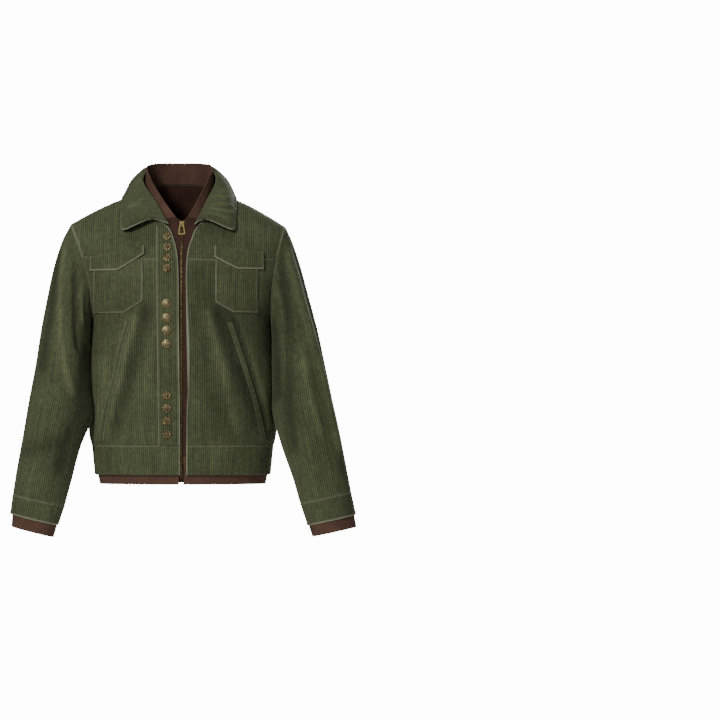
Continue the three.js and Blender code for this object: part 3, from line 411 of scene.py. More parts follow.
def column(side, face, u, v):
    """A smooth curve through every row at share u, from the hem band to the neck or shoulder."""
    rows = [body_row(side, face, row, u) for row in BODY]
    rows += [chest_row(side, face, row, u) for row in CHEST]
    top = top_row(side, face, u)
    over = chest_row(side, "back" if face == "front" else "front", CHEST[-1], u)
    collarward = lerp(top, rows[-1], -0.45)
    blend = smoothstep(u, NECK_SHARE - 0.16, NECK_SHARE + 0.1)[..., None]
    rows += [top, lerp(collarward, over, blend)]
    rows = np.stack(rows)
    near, weights = knot_weights(COLUMN_KNOTS, v)
    return sum(
        weights[..., j, None] * np.take_along_axis(rows, near[None, ..., j, None], axis=0)[0]
        for j in range(4)
    )


def body_folds(face, u, v, p):
    """Height of the folds at places p of the body: none at the hem, the neck and the side edge."""
    fade = smoothstep(v, 0, 0.07) * (1 - smoothstep(v, 0.9, 1)) * (1 - np.abs(u) ** HOLD_POWER)
    return fade * fold_height(BODY_FOLDS[face], p[..., 0], p[..., 2])


def torso(side, face, u, v):
    """The body's outer surface: the columns, drawn onto the side seam and armhole by the sixth
    power of u, plus the folds."""
    u, v = np.broadcast_arrays(np.asarray(u, float), np.asarray(v, float))
    hold = np.abs(u) ** HOLD_POWER
    correction = side_edge(side, face, v) - column(side, face, np.ones_like(u), v)
    p = column(side, face, u, v) + correction * hold[..., None]
    p[..., 1] += (-1 if face == "front" else 1) * body_folds(face, u, v, p)
    return p


def torso_normal(side, face, u, v):
    """Outward normal of the body: the cross product of its steps in u and v."""
    h = 1e-3
    du = torso(side, face, u + h, v) - torso(side, face, u - h, v)
    dv = torso(side, face, u, v + h) - torso(side, face, u, v - h)
    return unit(np.cross(du, dv)) * side * (1 if face == "front" else -1)


def front_edge_share(side, v):
    """The share u at which a row of the front reaches the front edge, by halving."""
    low, high = np.zeros_like(v), np.full_like(v, 0.9)
    for _ in range(26):
        u = (low + high) / 2
        p = torso(side, "front", u, v)
        edge = curve_at(FRONT_EDGE[:, 0], FRONT_EDGE[:, 1 if side == RIGHT else 2], p[..., 2])
        inside = side * (p[..., 0] - edge) < 0
        low, high = np.where(inside, u, low), np.where(inside, high, u)
    return (low + high) / 2


def on_front(side, x, z, lift):
    """The front's surface above x and z, moved out by lift: Newton steps on u and v."""
    x, z = np.broadcast_arrays(np.asarray(x, float), np.asarray(z, float))
    u, v = np.full(x.shape, 0.4), np.full(x.shape, 0.6)
    h = 1e-3
    for _ in range(9):
        p = torso(side, "front", u, v)
        du = (torso(side, "front", u + h, v) - p) / h
        dv = (torso(side, "front", u, v + h) - p) / h
        det = du[..., 0] * dv[..., 2] - dv[..., 0] * du[..., 2]
        gap_x, gap_z = x - p[..., 0], z - p[..., 2]
        u = u + np.clip((gap_x * dv[..., 2] - gap_z * dv[..., 0]) / det, -0.2, 0.2)
        v = v + np.clip((du[..., 0] * gap_z - du[..., 2] * gap_x) / det, -0.2, 0.2)
        u = np.clip(u, 0.001, 0.998)
    return torso(side, "front", u, v) + np.asarray(lift)[..., None] * torso_normal(
        side, "front", u, v)


def tube(table, s, angle):
    """A section of a sleeve, cuff or rib: an ellipse between its outer and inner edge."""
    row = curve_at(table[:, 0], table[:, 1:], s)
    outer_x, outer_z, inner_x, inner_z, y, depth = np.moveaxis(row, -1, 0)
    c = np.cos(angle)
    return stack((outer_x + inner_x) / 2 + (outer_x - inner_x) / 2 * c, y - depth * np.sin(angle),
                 (outer_z + inner_z) / 2 + (outer_z - inner_z) / 2 * c)


def body_reach(side, y, z):
    """The body's side at a height and depth, for keeping the sleeves off it."""
    half, lean, front, back = (curve_at(-BODY[::-1, 1], BODY[::-1, k], -z) for k in (2, 3, 4, 5))
    depth = np.where(y < SIDE_SEAM_Y, front + SIDE_SEAM_Y, back - SIDE_SEAM_Y)
    share = np.minimum(np.abs(y - SIDE_SEAM_Y) / depth, 1)
    return side * lean + half * (1 - share ** BODY_SQUARENESS) ** (1 / BODY_SQUARENESS)


def sleeve_folds(side, s, angle):
    """Height of the folds on a sleeve's surface."""
    scale = (math.radians(SLEEVE_RADIUS), SLEEVE_LENGTH)
    folds = [(np.multiply(route, scale), width, height)
             for route, width, height in SLEEVE_FOLDS[side]]
    fade = smoothstep(s, 0, 0.12) * (1 - smoothstep(s, 0.9, 1))
    return fade * fold_height(folds, angle * SLEEVE_RADIUS, s * SLEEVE_LENGTH)


def sleeve(side, s, angle):
    """The sleeve's outer surface: starts on the armhole seam, has its folds, and stays off the
    body."""
    s, angle = np.broadcast_arrays(np.asarray(s, float), np.asarray(angle, float))
    table = SLEEVE[side]
    p = tube(table, s, angle)
    seamed = armhole(side, angle) + p - tube(table, np.zeros_like(s), angle)
    p = lerp(p, seamed, (1 - smoothstep(s, 0, 0.3))[..., None])
    middle = (tube(table, s, 0 * angle) + tube(table, s, 0 * angle + np.pi)) / 2
    p = p + unit(p - middle) * sleeve_folds(side, s, angle)[..., None]
    z = p[..., 2]
    reach = body_reach(side, p[..., 1], np.clip(z, HEM_TOP, UNDERARM_Z))
    reach = reach + BODY_CLEARANCE * smoothstep(-z, -UNDERARM_Z, 19 - UNDERARM_Z)
    beside = (z < UNDERARM_Z) & (z > HEM_TOP)
    p[..., 0] = np.where(beside, side * np.maximum(side * p[..., 0], reach), p[..., 0])
    return p


def hem_point(a, z, taper, inset, edges):
    """A ring of the hem: the band's lowest ring, drawn in by taper and moved in by inset. a runs
    from the right front edge round the back to the left front edge."""
    _, _, half, lean, front, back = BODY[0]
    side = np.where(a < 0.5, RIGHT, LEFT)
    reachable = half - taper - inset
    edge = np.where(a < 0.5, edges[RIGHT], edges[LEFT])
    start = np.arcsin((edge / reachable) ** (BODY_SQUARENESS / 2))
    angle = lerp(np.pi, start, np.abs(2 * a - 1))
    x = reachable * np.abs(np.sin(angle)) ** (2 / BODY_SQUARENESS)
    ahead = np.cos(angle) > 0
    depth = np.where(ahead, front + SIDE_SEAM_Y, back - SIDE_SEAM_Y) - taper - inset
    y = SIDE_SEAM_Y - np.sign(np.cos(angle)) * depth * np.abs(np.cos(angle)) ** (2 / BODY_SQUARENESS)
    return stack(side * x + lean, y, z)


def toward_neck(p, amount):
    """Moved towards the neck's middle, in plan."""
    flat = unit(stack(p[..., 0] - COLLAR_LEAN, p[..., 1], 0))
    return p - flat * np.asarray(amount)[..., None]


def round_collar(a, at):
    """Goes round the collar from its right front end to its left one."""
    q = np.abs(2 * a - 1)
    return np.where((a < 0.5)[..., None], at(RIGHT, q), at(LEFT, q))


def leaf_point(side, q, b):
    """The fall: from a tuck behind the roll line over a bulge to its lower edge."""
    roll, edge = collar_line(side, "roll", q), collar_line(side, "edge", q)
    tuck = toward_neck(roll, lerp(8.5, 3.5, smoothstep(q, 0.45, 0.65)))
    tuck[..., 2] -= lerp(1.2, 0.6, smoothstep(q, 0.45, 0.65))
    t = np.clip((b - 0.1) / 0.9, 0, 1)
    out = unit(stack(edge[..., 0] - roll[..., 0], edge[..., 1] - roll[..., 1], 0))
    swell = LEAF_BULGE * np.sin(np.pi * t) * (1 - 0.8 * smoothstep(q, 0.92, 1))
    p = lerp(roll, edge, t[..., None]) + out * (swell * 0.5)[..., None]
    p[..., 2] += swell * (1 - 0.6 * q) + 0.8 * (1 - t)
    return np.where((b == 0)[..., None], tuck, p)


def lifted_clear(points, gap, samples, normals):
    """Points moved out until they clear the body by a gap, measured at the nearest sample."""
    flat = points.reshape(-1, 3)
    nearest = ((flat[:, None] - samples[None]) ** 2).sum(-1).argmin(1)
    height = ((flat - samples[nearest]) * normals[nearest]).sum(-1)
    moved = flat + normals[nearest] * np.maximum(gap - height, 0)[:, None]
    return moved.reshape(points.shape)


def leaf_net():
    """Points of the fall, lifted off the shoulders."""
    u, v = np.meshgrid(0.02 + 0.95 * np.linspace(0, 1, 41), np.linspace(0.7, 0.998, 25))
    places = [(side, face) for side in SIDES for face in ("front", "back")]
    samples = np.concatenate([torso(*place, u, v).reshape(-1, 3) for place in places])
    normals = np.concatenate([torso_normal(*place, u, v).reshape(-1, 3) for place in places])
    a, b = np.meshgrid(np.linspace(0, 1, 41), LEAF_ROWS)
    net = round_collar(a, lambda side, q: leaf_point(side, q, b))
    lifted = lifted_clear(net, CORDUROY + 1.6, samples, normals)
    return np.where((b < 0.2)[..., None], net, lifted)


def lower_edge(shape, x):
    """Height of the slanted lower edge of a pocket or flap."""
    _, inner, _, _, bottom, cut_x, cut_z = shape
    return bottom + (cut_z - bottom) * np.maximum((x - cut_x) / (inner - cut_x), 0)


def facing_point(x, z):
    """The knit facing's outer face: just behind the fronts, and straight over the hem band."""
    x, z = np.broadcast_arrays(np.asarray(x, float), np.asarray(z, float))
    behind = -CORDUROY - lerp(FACING_GAP, FACING_GAP_TOP, smoothstep(z, -100, -45))
    upper = np.maximum(z, BLOUSE_Z)
    above = np.where((x < 0)[..., None], on_front(RIGHT, x, upper, behind),
                     on_front(LEFT, x, upper, behind))
    _, _, half, _, front, _ = BODY[0]
    taper = HEM_TAPER * (HEM_TOP - z) / (HEM_TOP - HEM_BOTTOM) + 0.4
    share = np.abs(x) / (half - taper)
    depth = (front + SIDE_SEAM_Y - taper + behind) * (1 - share ** BODY_SQUARENESS) ** (
        1 / BODY_SQUARENESS)
    hemward = SIDE_SEAM_Y - depth
    down = np.clip((BLOUSE_Z - z) / (BLOUSE_Z - HEM_TOP), 0, 1)
    collar_y = np.interp(np.abs(x), FACING_TOP_Y[:, 0], FACING_TOP_Y[:, 1])
    above[..., 1] = lerp(above[..., 1], collar_y, smoothstep(z, -52, -33))
    return stack(np.where(z >= BLOUSE_Z, above[..., 0], x), lerp(above[..., 1], hemward, down), z)


def envelope(edge, outward):
    """An edge that only ever moves one way, and never past the real one."""
    reach = edge * outward
    if reach[-1] <= reach[0]:
        return np.minimum.accumulate(reach) * outward
    return np.minimum.accumulate(reach[::-1])[::-1] * outward


def grid_read(table, a, b):
    """A table of rows along b and columns along a, both 0 to 1, read between its entries."""
    rows, columns = table.shape
    i = np.clip(np.asarray(a) * (columns - 1), 0, columns - 1)
    j = np.clip(np.asarray(b) * (rows - 1), 0, rows - 1)
    i0, j0 = np.minimum(i.astype(int), columns - 2), np.minimum(j.astype(int), rows - 2)
    p, q = i - i0, j - j0
    return ((table[j0, i0] * (1 - p) + table[j0, i0 + 1] * p) * (1 - q)
            + (table[j0 + 1, i0] * (1 - p) + table[j0 + 1, i0 + 1] * p) * q)


class Cloth:
    """A piece of cloth drawn smoothly through a net of points. a runs across its wales and b along
    them, 0 to 1. s is the distance across in millimetres, counted from the wale on the datum, and
    the wales are the lines of equal s. They end at the piece's edges where it narrows."""

    def __init__(self, net, inside, datum=0.5, measure=(1, 1, 1), x_side=0, knots_b=None,
                 parallel=False, folds=None):
        self.net = net
        # Fold heights of the net, read only for the painted shade and highlight of the folds
        self.folds = np.zeros(net.shape[:2]) if folds is None else folds
        rows, columns, _ = net.shape
        self.knots_a = np.linspace(0, 1, columns)
        self.knots_b = np.linspace(0, 1, rows) if knots_b is None else knots_b
        self.a = np.linspace(0, 1, 3 * (columns - 1) + 1)
        self.b = np.linspace(0, 1, 3 * (rows - 1) + 1)
        p = self.point(self.a[None, :], self.b[:, None])
        steps = np.linalg.norm(np.diff(p, axis=1) * measure, axis=-1)
        across = np.pad(np.cumsum(steps, axis=1), ((0, 0), (1, 0)))
        start = x_side * p[:, 0, 0] if x_side else -np.array(
            [np.interp(datum, self.a, row) for row in across])
        self.low = envelope(start, -1)
        self.high = envelope(start + across[:, -1], 1)
        if parallel:
            self.low = np.full_like(self.low, start.mean())
            self.high = np.full_like(self.high, (start + across[:, -1]).mean())
        self.shares = np.array([
            np.interp(np.linspace(0, 1, 181), row / row[-1], self.a) for row in across])
        steps = np.linalg.norm(np.diff(p, axis=0), axis=-1)
        self.along = np.pad(np.cumsum(steps, axis=0), ((1, 0), (0, 0)))
        middle = self.along[:, len(self.a) // 2]
        self.slant = {
            "low": np.sqrt(1 + np.gradient(self.low, middle) ** 2),
            "high": np.sqrt(1 + np.gradient(self.high, middle) ** 2),
        }
        self.sign = 1
        normals = self.normal(self.a[None, :], self.b[:, None])
        self.sign = np.sign((unit(p - inside) * normals).sum())
        cell = np.linalg.norm(np.cross(np.diff(p, axis=0)[:, :-1], np.diff(p, axis=1)[:-1]), axis=-1)
        self.area = cell.sum()
        self.width = across[:, -1].max()
        self.length = self.along[-1].max()

    def point(self, a, b):
        """The net's points near a place, weighted along both ways."""
        a, b = np.broadcast_arrays(np.asarray(a, float), np.asarray(b, float))
        near_a, weight_a = knot_weights(self.knots_a, a)
        near_b, weight_b = knot_weights(self.knots_b, b)
        return sum(
            self.net[near_b[..., j], near_a[..., i]] * (weight_b[..., j] * weight_a[..., i])[..., None]
            for i in range(4) for j in range(4)
        )

    def normal(self, a, b):
        """Outward normal: the cross product of small steps in a and b."""
        h = 2e-3
        b = np.clip(b, 0, 1)
        across = self.point(np.clip(a + h, 0, 1), b) - self.point(np.clip(a - h, 0, 1), b)
        along = self.point(a, np.clip(b + h, 0, 1)) - self.point(a, np.clip(b - h, 0, 1))
        return unit(np.cross(across, along)) * self.sign

    def limits(self, b):
        """The distances across at which a row starts and ends."""
        return np.interp(b, self.b, self.low), np.interp(b, self.b, self.high)

    def place(self, s, b):
        """The a of a distance across."""
        low, high = self.limits(b)
        return grid_read(self.shares, np.clip((s - low) / (high - low), 0, 1), b)

    def span(self, s):
        """Where the wale at s starts and ends along the piece."""
        start, end = np.zeros_like(s), np.ones_like(s)
        for edge, outward in ((self.low, -1), (self.high, 1)):
            reach, target = edge * outward, s * outward - 1e-3
            if reach[-1] > reach[0]:
                start = np.maximum(start, np.interp(target, reach, self.b))
            else:
                end = np.minimum(end, np.interp(target, reach[::-1], self.b[::-1]))
        return start, np.maximum(end, start + 1e-3)

    def line_length(self, a, b):
        """Length of the whole line along through a place."""
        return grid_read(self.along[-1:].repeat(2, 0), a, b)

    def gaps(self, s, a, b):
        """Distance of a place from each of the four edges."""
        low, high = self.limits(b)
        below = grid_read(self.along, a, b)
        return {
            "low": (s - low) / np.interp(b, self.b, self.slant["low"]),
            "high": (high - s) / np.interp(b, self.b, self.slant["high"]),
            "bottom": below,
            "top": self.line_length(a, b) - below,
        }


def relief(gaps, s, seams, wale):
    """Height of the cloth above its plain surface, and how worn it is. wale: pitch and height of
    the wales, each (half plus half the cosine) to the power 0.8. seams: for each edge its rows of
    stitching, the height of the turned-in cloth beside it, and its wear."""
    pitch, height = wale
    crest = np.maximum(0.5 + 0.5 * np.cos(2 * np.pi * s / pitch), 0) ** 0.8
    lift = height * (crest - 0.55)
    worn = np.zeros_like(lift)
    nearest = np.min(list(gaps.values()), axis=0)
    for edge, (rows, ridge, wear) in seams.items():
        gap = gaps[edge]
        if rows:
            risen = smoothstep(gap, -0.5, 1.2)
            lift = lift + ridge * (risen - smoothstep(gap, rows[-1] - 1.5, rows[-1] + 0.5))
        for inset in rows:
            lift = lift - min(0.55, ridge) * np.exp(-(((gap - inset) / 0.9) ** 2))
        worn = np.maximum(worn, wear * np.exp(-((gap / 2.1) ** 2)))
    lift = lift - 0.5 * np.exp(-((nearest / 0.8) ** 2))
    return lift, worn


def row_shares(length, step):
    """Rows close together near both ends, and a step apart between."""
    ends = np.array([0, 0.8, 1.8, 3, 4.2, 5.4, 6.8, 8.6, 11])
    if length < 2 * ends[-1] + step:
        return np.linspace(0, 1, max(int(length / 1.6), 4))
    count = max(int(round((length - 2 * ends[-1]) / step)), 1)
    middle = np.linspace(ends[-1], length - ends[-1], count + 1)[1:-1]
    return np.concatenate([ends, middle, length - ends[::-1]]) / length


def add_mesh(name, points, faces, uv=None, shades=None, sharp=60):
    """A mesh object from points in millimetres."""
    mesh = bpy.data.meshes.new(name)
    mesh.from_pydata((points * MM).tolist(), [], faces.tolist())
    mesh.polygons.foreach_set("use_smooth", np.ones(len(faces), bool))
    corners = np.zeros(len(mesh.loops), np.int32)
    mesh.loops.foreach_get("vertex_index", corners)
    if uv is not None:
        layer = mesh.uv_layers.new(name="cloth")
        layer.data.foreach_set("uv", (uv[corners] * MM).astype(np.float32).ravel())
    for key, values in (shades or {}).items():
        layer = mesh.attributes.new(key, "FLOAT", "POINT")
        layer.data.foreach_set("value", np.concatenate([values.ravel()] * 2).astype(np.float32))
    mesh.set_sharp_from_angle(angle=math.radians(sharp))
    mesh.validate()
    obj = bpy.data.objects.new(name, mesh)
    bpy.context.scene.collection.objects.link(obj)
    return obj


def add_cloth(name, cloth, thickness, seams=None, wale=None, step=9.0, columns=3, closed=False,
              bevel=1.2, creases=()):
    """A closed shell of cloth: an outer layer with wales and seams, a plain inner layer, and a rim
    that leans inwards. Its UV map holds the distances across and along, in metres."""
    settings = bpy.context.scene.corduroy_jacket
    wale = wale or (settings.wale_pitch / MM, settings.wale_height / MM)
    seams = seams or {}
    spacing = wale[0] / columns
    if closed:
        count = int(round(cloth.width / spacing / columns)) * columns
        s = (np.arange(count) * (cloth.width / count))[None, :]
        wale = (cloth.width / count * columns, wale[1])
        b = row_shares(cloth.length, step)[:, None] + 0 * s
        s = s + 0 * b
        a = grid_read(cloth.shares, s / cloth.width, b)
    else:
        first, last = cloth.low.min(), cloth.high.max()
        s = np.arange(math.ceil(first / spacing), math.floor(last / spacing) + 1) * spacing
        s = s[(s > first + spacing / 4) & (s < last - spacing / 4)]
        s = np.concatenate([[first], s, [last]])
        start, end = cloth.span(s)
        b = start + (end - start) * row_shares(cloth.length, step)[:, None]
        low, high = cloth.limits(b)
        s = np.clip(s + 0 * b, low, high)
        a = cloth.place(s, b)
    gaps = cloth.gaps(s, a, b)
    if closed:
        gaps = {edge: gaps[edge] for edge in ("bottom", "top")}
    lift, worn = relief(gaps, s, seams, wale)
    plain = cloth.point(a, b)
    crease = fold_height(creases, plain[..., 0], plain[..., 2])
    lift = lift + crease
    total = cloth.line_length(a, b)

    def inset(edge, by):
        return by * np.maximum(1 - gaps[edge] / 5, 0)

    def layer(by, offset):
        moved_b = b + (inset("bottom", by) - inset("top", by)) / total
        if closed:
            moved_a = a
        else:
            moved_s = s + inset("low", by) - inset("high", by)
            moved_a = cloth.place(moved_s, moved_b)
        return cloth.point(moved_a, moved_b) + cloth.normal(moved_a, moved_b) * offset[..., None]

    outer = layer(0, lift)
    inner = layer(bevel, np.full_like(lift, -thickness))
    points = np.concatenate([outer.reshape(-1, 3), inner.reshape(-1, 3)])
    uv = np.stack([s, gaps["bottom"]], axis=-1).reshape(-1, 2)
    faces, layer_size = shell_faces(*s.shape, closed, cloth.sign)
    # Painted shade in fold hollows and a painted highlight on fold crests and the collar's creases: the
    # fold height over 4 mm plus the crease height, through tanh
    nap = np.tanh(grid_read(cloth.folds, a, b) / 4 + crease)
    obj = add_mesh(name, points, faces, np.concatenate([uv, uv]), {"worn": worn, "nap": nap})
    lining = np.zeros(len(faces), np.int32)
    inner_faces = lining[layer_size:2 * layer_size].reshape(len(s) - 1, -1)
    inner_faces[TURNED_ROWS:-TURNED_ROWS, TURNED_ROWS:-TURNED_ROWS] = 1
    obj.data.polygons.foreach_set("material_index", lining)
    return obj


def point_numbers(rows, columns, closed=True):
    """Numbers of a grid's points, row by row. In a closed one the first column comes again last."""
    index = np.arange(rows * columns).reshape(rows, columns)
    return np.concatenate([index, index[:, :1]], axis=1) if closed else index


def quads(grid):
    """Faces between the neighbours in a grid of point numbers."""
    return np.stack([grid[:-1, :-1], grid[:-1, 1:], grid[1:, 1:], grid[1:, :-1]], -1).reshape(-1, 4)


def four_sided_bar(rings):
    """Faces of a bar with four sides, through a number of rings and closed at both ends."""
    last = 4 * (rings - 1)
    return np.concatenate([quads(point_numbers(rings, 4)),
                           [[3, 2, 1, 0], [last, last + 1, last + 2, last + 3]]])


def shell_faces(rows, columns, closed, sign):
    """Quads of two layers of a grid and of the rim between them, and how many a layer has."""
    index = point_numbers(rows, columns, closed)
    inner = index + rows * columns
    rims = [np.stack([inner[0], index[0]]), np.stack([index[-1], inner[-1]])]
    if not closed:
        rims += [np.stack([index[:, 0], inner[:, 0]]), np.stack([inner[:, -1], index[:, -1]])]
    faces = np.concatenate([quads(index), quads(inner)[:, ::-1]] + [quads(rim) for rim in rims])
    return faces if sign > 0 else faces[:, ::-1], (rows - 1) * (index.shape[1] - 1)


def seam_line(cloth, edge, inset):
    """Places, directions and outward normals of the stitches along an edge, a pitch apart."""
    t = np.linspace(0, 1, 400)
    if edge in ("low", "high"):
        b = t
        low, high = cloth.limits(b)
        slant = np.interp(b, cloth.b, cloth.slant[edge])
        s = low + inset * slant if edge == "low" else high - inset * slant
    else:
        b = np.zeros_like(t) if edge == "bottom" else np.ones_like(t)
        for _ in range(4):
            low, high = cloth.limits(b)
            a = cloth.place(lerp(low, high, t), b)
            below = grid_read(cloth.along, a, b)
            total = cloth.line_length(a, b)
            want = inset if edge == "bottom" else total - inset
            b = np.clip(b + (want - below) / total, 0, 1)
        low, high = cloth.limits(b)
        s = lerp(low, high, t)
    line = cloth.point(cloth.place(s, b), b)
    length = np.concatenate([[0], np.cumsum(np.linalg.norm(np.diff(line, axis=0), axis=1))])
    count = int(length[-1] // STITCH_PITCH) - 1
    if count < 1:
        return np.zeros((0, 3)), np.zeros((0, 3)), np.zeros((0, 3))
    ends = (length[-1] - count * STITCH_PITCH) / 2 + STITCH_PITCH * (np.arange(count) + 0.5)
    where = np.interp(ends, length, t)
    s, b = np.interp(where, t, s), np.interp(where, t, b)
    a = cloth.place(s, b)
    p = cloth.point(a, b)
    ahead = np.interp(np.minimum(ends + 1, length[-1]), length, t)
    axes = np.stack([np.interp(ahead, t, line[:, k]) for k in range(3)], axis=-1)
    back = np.stack([np.interp(where, t, line[:, k]) for k in range(3)], axis=-1)
    normal = cloth.normal(a, b)
    return p + normal * STITCH_LIFT, unit(axes - back), normal


def sew(name, cloths):
    """Stitches along every stitched edge as one mesh: a thread drawn as a slim spindle with four
    sides and five rings, bent down at both ends where it enters the cloth."""
    found = [
        seam_line(cloth, edge, inset)
        for cloth, seams in cloths for edge, (rows, _, _) in seams.items() for inset in rows
    ]
    centre, ahead, normal = (np.concatenate(parts) for parts in zip(*found))
    side = unit(np.cross(ahead, normal))
    ring_t = np.array([-1, -0.72, 0, 0.72, 1]) * STITCH_LENGTH / 2
    ring_r = np.array([0.3, 0.95, 1, 0.95, 0.3]) * STITCH_RADIUS
    ring_z = np.array([-0.6, -0.1, 0.12, -0.1, -0.6])
    turn = np.arange(4) * np.pi / 2 + np.pi / 4
    points = (
        centre[:, None, None]
        + ahead[:, None, None] * ring_t[None, :, None, None]
        + normal[:, None, None] * (ring_z[:, None] + ring_r[:, None] * np.sin(turn))[None, ..., None]
        + side[:, None, None] * (ring_r[:, None] * np.cos(turn))[None, ..., None]
    )
    start = 4 * len(ring_t) * np.arange(len(centre))[:, None, None]
    faces = (four_sided_bar(len(ring_t))[None] + start).reshape(-1, 4)
    return add_mesh(name, points.reshape(-1, 3), faces)


# Materials

def linear(hex_colour):
    """An sRGB hex colour as linear RGBA."""
    values = [int(hex_colour[i:i + 2], 16) / 255 for i in (1, 3, 5)]
    return tuple(c / 12.92 if c <= 0.04045 else ((c + 0.055) / 1.055) ** 2.4 for c in values) + (1,)


def add_node(tree, kind, settings=None, inputs=None):
    """A node with its own settings, and its inputs as plain values or as sockets to link from."""
    node = tree.nodes.new(kind)
    for key, value in (settings or {}).items():
        setattr(node, key, value)
    for key, value in (inputs or {}).items():
        if isinstance(value, bpy.types.NodeSocket):
            tree.links.new(value, node.inputs[key])
        else:
            node.inputs[key].default_value = value
    return node


def new_material(name):
    """A material with nothing but its output node."""
    material = bpy.data.materials.new(name)
    material.use_nodes = True
    material.node_tree.nodes.clear()
    output = add_node(material.node_tree, "ShaderNodeOutputMaterial")
    return material, material.node_tree, output


def made_once(make):
    """Makes a material the first time that its name is asked for, and finds it after that."""
    def find_or_make(name, *look):
        return bpy.data.materials.get(name) or make(name, *look)
    return find_or_make


@made_once
def corduroy_material(name, crest, valley, worn):
    """Cotton corduroy: cut pile in wales with bare ground between them. The pile is matt with a
    soft sheen at grazing angles, darker in the wales' valleys, and rubbed pale on its edges; folds
    get painted shade in their hollows and a painted highlight on their crests."""
    settings = bpy.context.scene.corduroy_jacket
    material, tree, output = new_material(name)
    uv = add_node(tree, "ShaderNodeUVMap", {"uv_map": "cloth"}).outputs[0]
    place = add_node(tree, "ShaderNodeTexCoord").outputs["Object"]
    split = add_node(tree, "ShaderNodeSeparateXYZ", None, {0: uv})
    # Pile tufts about 0.8 mm across and 2 mm long
    tuft_place = add_node(tree, "ShaderNodeVectorMath", {"operation": "MULTIPLY"},
                          {0: uv, 1: (1250, 500, 1)}).outputs[0]
    tufts = add_node(tree, "ShaderNodeTexNoise", None,
                     {"Vector": tuft_place, "Scale": 1.0, "Detail": 2.0}).outputs[0]
    # The wales wander by a few tenths of a millimetre
    wander = add_node(tree, "ShaderNodeTexNoise", None,
                      {"Vector": place, "Scale": 90.0, "Detail": 1.0}).outputs[0]
    shift = add_node(tree, "ShaderNodeMath", {"operation": "MULTIPLY_ADD"},
                     {0: wander, 1: 0.9, 2: -0.45}).outputs[0]
    turns = add_node(tree, "ShaderNodeMath", {"operation": "MULTIPLY_ADD"},
                     {0: split.outputs[0], 1: 2 * math.pi / settings.wale_pitch, 2: shift}).outputs[0]
    wave = add_node(tree, "ShaderNodeMath", {"operation": "COSINE"}, {0: turns}).outputs[0]
    crest_share = add_node(tree, "ShaderNodeMapRange", None,
                           {0: wave, 1: -0.95, 2: 0.35, 3: 0.0, 4: 1.0}).outputs[0]
    # Broad patches of 30 to 80 mm where the pile lies differently
    patches = add_node(tree, "ShaderNodeTexNoise", None,
                       {"Vector": place, "Scale": 17.0, "Detail": 3.0}).outputs[0]
    mottle = add_node(tree, "ShaderNodeTexNoise", None,
                      {"Vector": place, "Scale": 130.0, "Detail": 3.0}).outputs[0]
    streak_place = add_node(tree, "ShaderNodeVectorMath", {"operation": "MULTIPLY"},
                            {0: uv, 1: (150, 9, 1)}).outputs[0]
    streaks = add_node(tree, "ShaderNodeTexNoise", None,
                       {"Vector": streak_place, "Scale": 1.0, "Detail": 2.0}).outputs[0]
    mixed = add_node(tree, "ShaderNodeMix", {"data_type": "RGBA"},
                     {0: crest_share, 6: valley, 7: crest}).outputs[2]
    # Painted shade in the hollows of folds and a painted highlight on their crests, from the fold
    # heights stored on the mesh
    nap = add_node(tree, "ShaderNodeAttribute", {"attribute_name": "nap"}).outputs["Fac"]
    shade = 1.0
    for pattern, low, high, darkest, lightest in (
            (tufts, 0.2, 0.8, 0.72, 1.28), (patches, 0.3, 0.7, 0.86, 1.14),
            (streaks, 0.25, 0.75, 0.8, 1.2), (mottle, 0.3, 0.7, 0.82, 1.18),
            (nap, -1.0, 1.0, 0.5, 1.56)):
        factor = add_node(tree, "ShaderNodeMapRange", None,
                          {0: pattern, 1: low, 2: high, 3: darkest, 4: lightest}).outputs[0]
        shade = add_node(tree, "ShaderNodeMath", {"operation": "MULTIPLY"},
                         {0: shade, 1: factor}).outputs[0]
    shaded = add_node(tree, "ShaderNodeVectorMath", {"operation": "SCALE"},
                      {0: mixed, "Scale": shade}).outputs[0]
    wear = add_node(tree, "ShaderNodeAttribute", {"attribute_name": "worn"}).outputs["Fac"]
    ragged = add_node(tree, "ShaderNodeMapRange", None,
                      {0: tufts, 1: 0.3, 2: 0.65, 3: 0.35, 4: 1.0}).outputs[0]
    wear = add_node(tree, "ShaderNodeMath", {"operation": "MULTIPLY"},
                    {0: wear, 1: ragged}).outputs[0]
    colour = add_node(tree, "ShaderNodeMix", {"data_type": "RGBA"},
                      {0: wear, 6: shaded, 7: worn}).outputs[2]
    bump = add_node(tree, "ShaderNodeBump", None,
                    {"Strength": 0.7, "Distance": 0.0006, "Height": tufts}).outputs[0]
    shader = add_node(tree, "ShaderNodeBsdfPrincipled", None, {
        "Base Color": colour, "Roughness": 0.92, "IOR": 1.45, "Specular IOR Level": 0.2,
        "Sheen Weight": 0.1, "Sheen Roughness": 0.5, "Sheen Tint": linear("#a9ad8e"),
        "Normal": bump,
    })
    tree.links.new(shader.outputs[0], output.inputs[0])
    return material


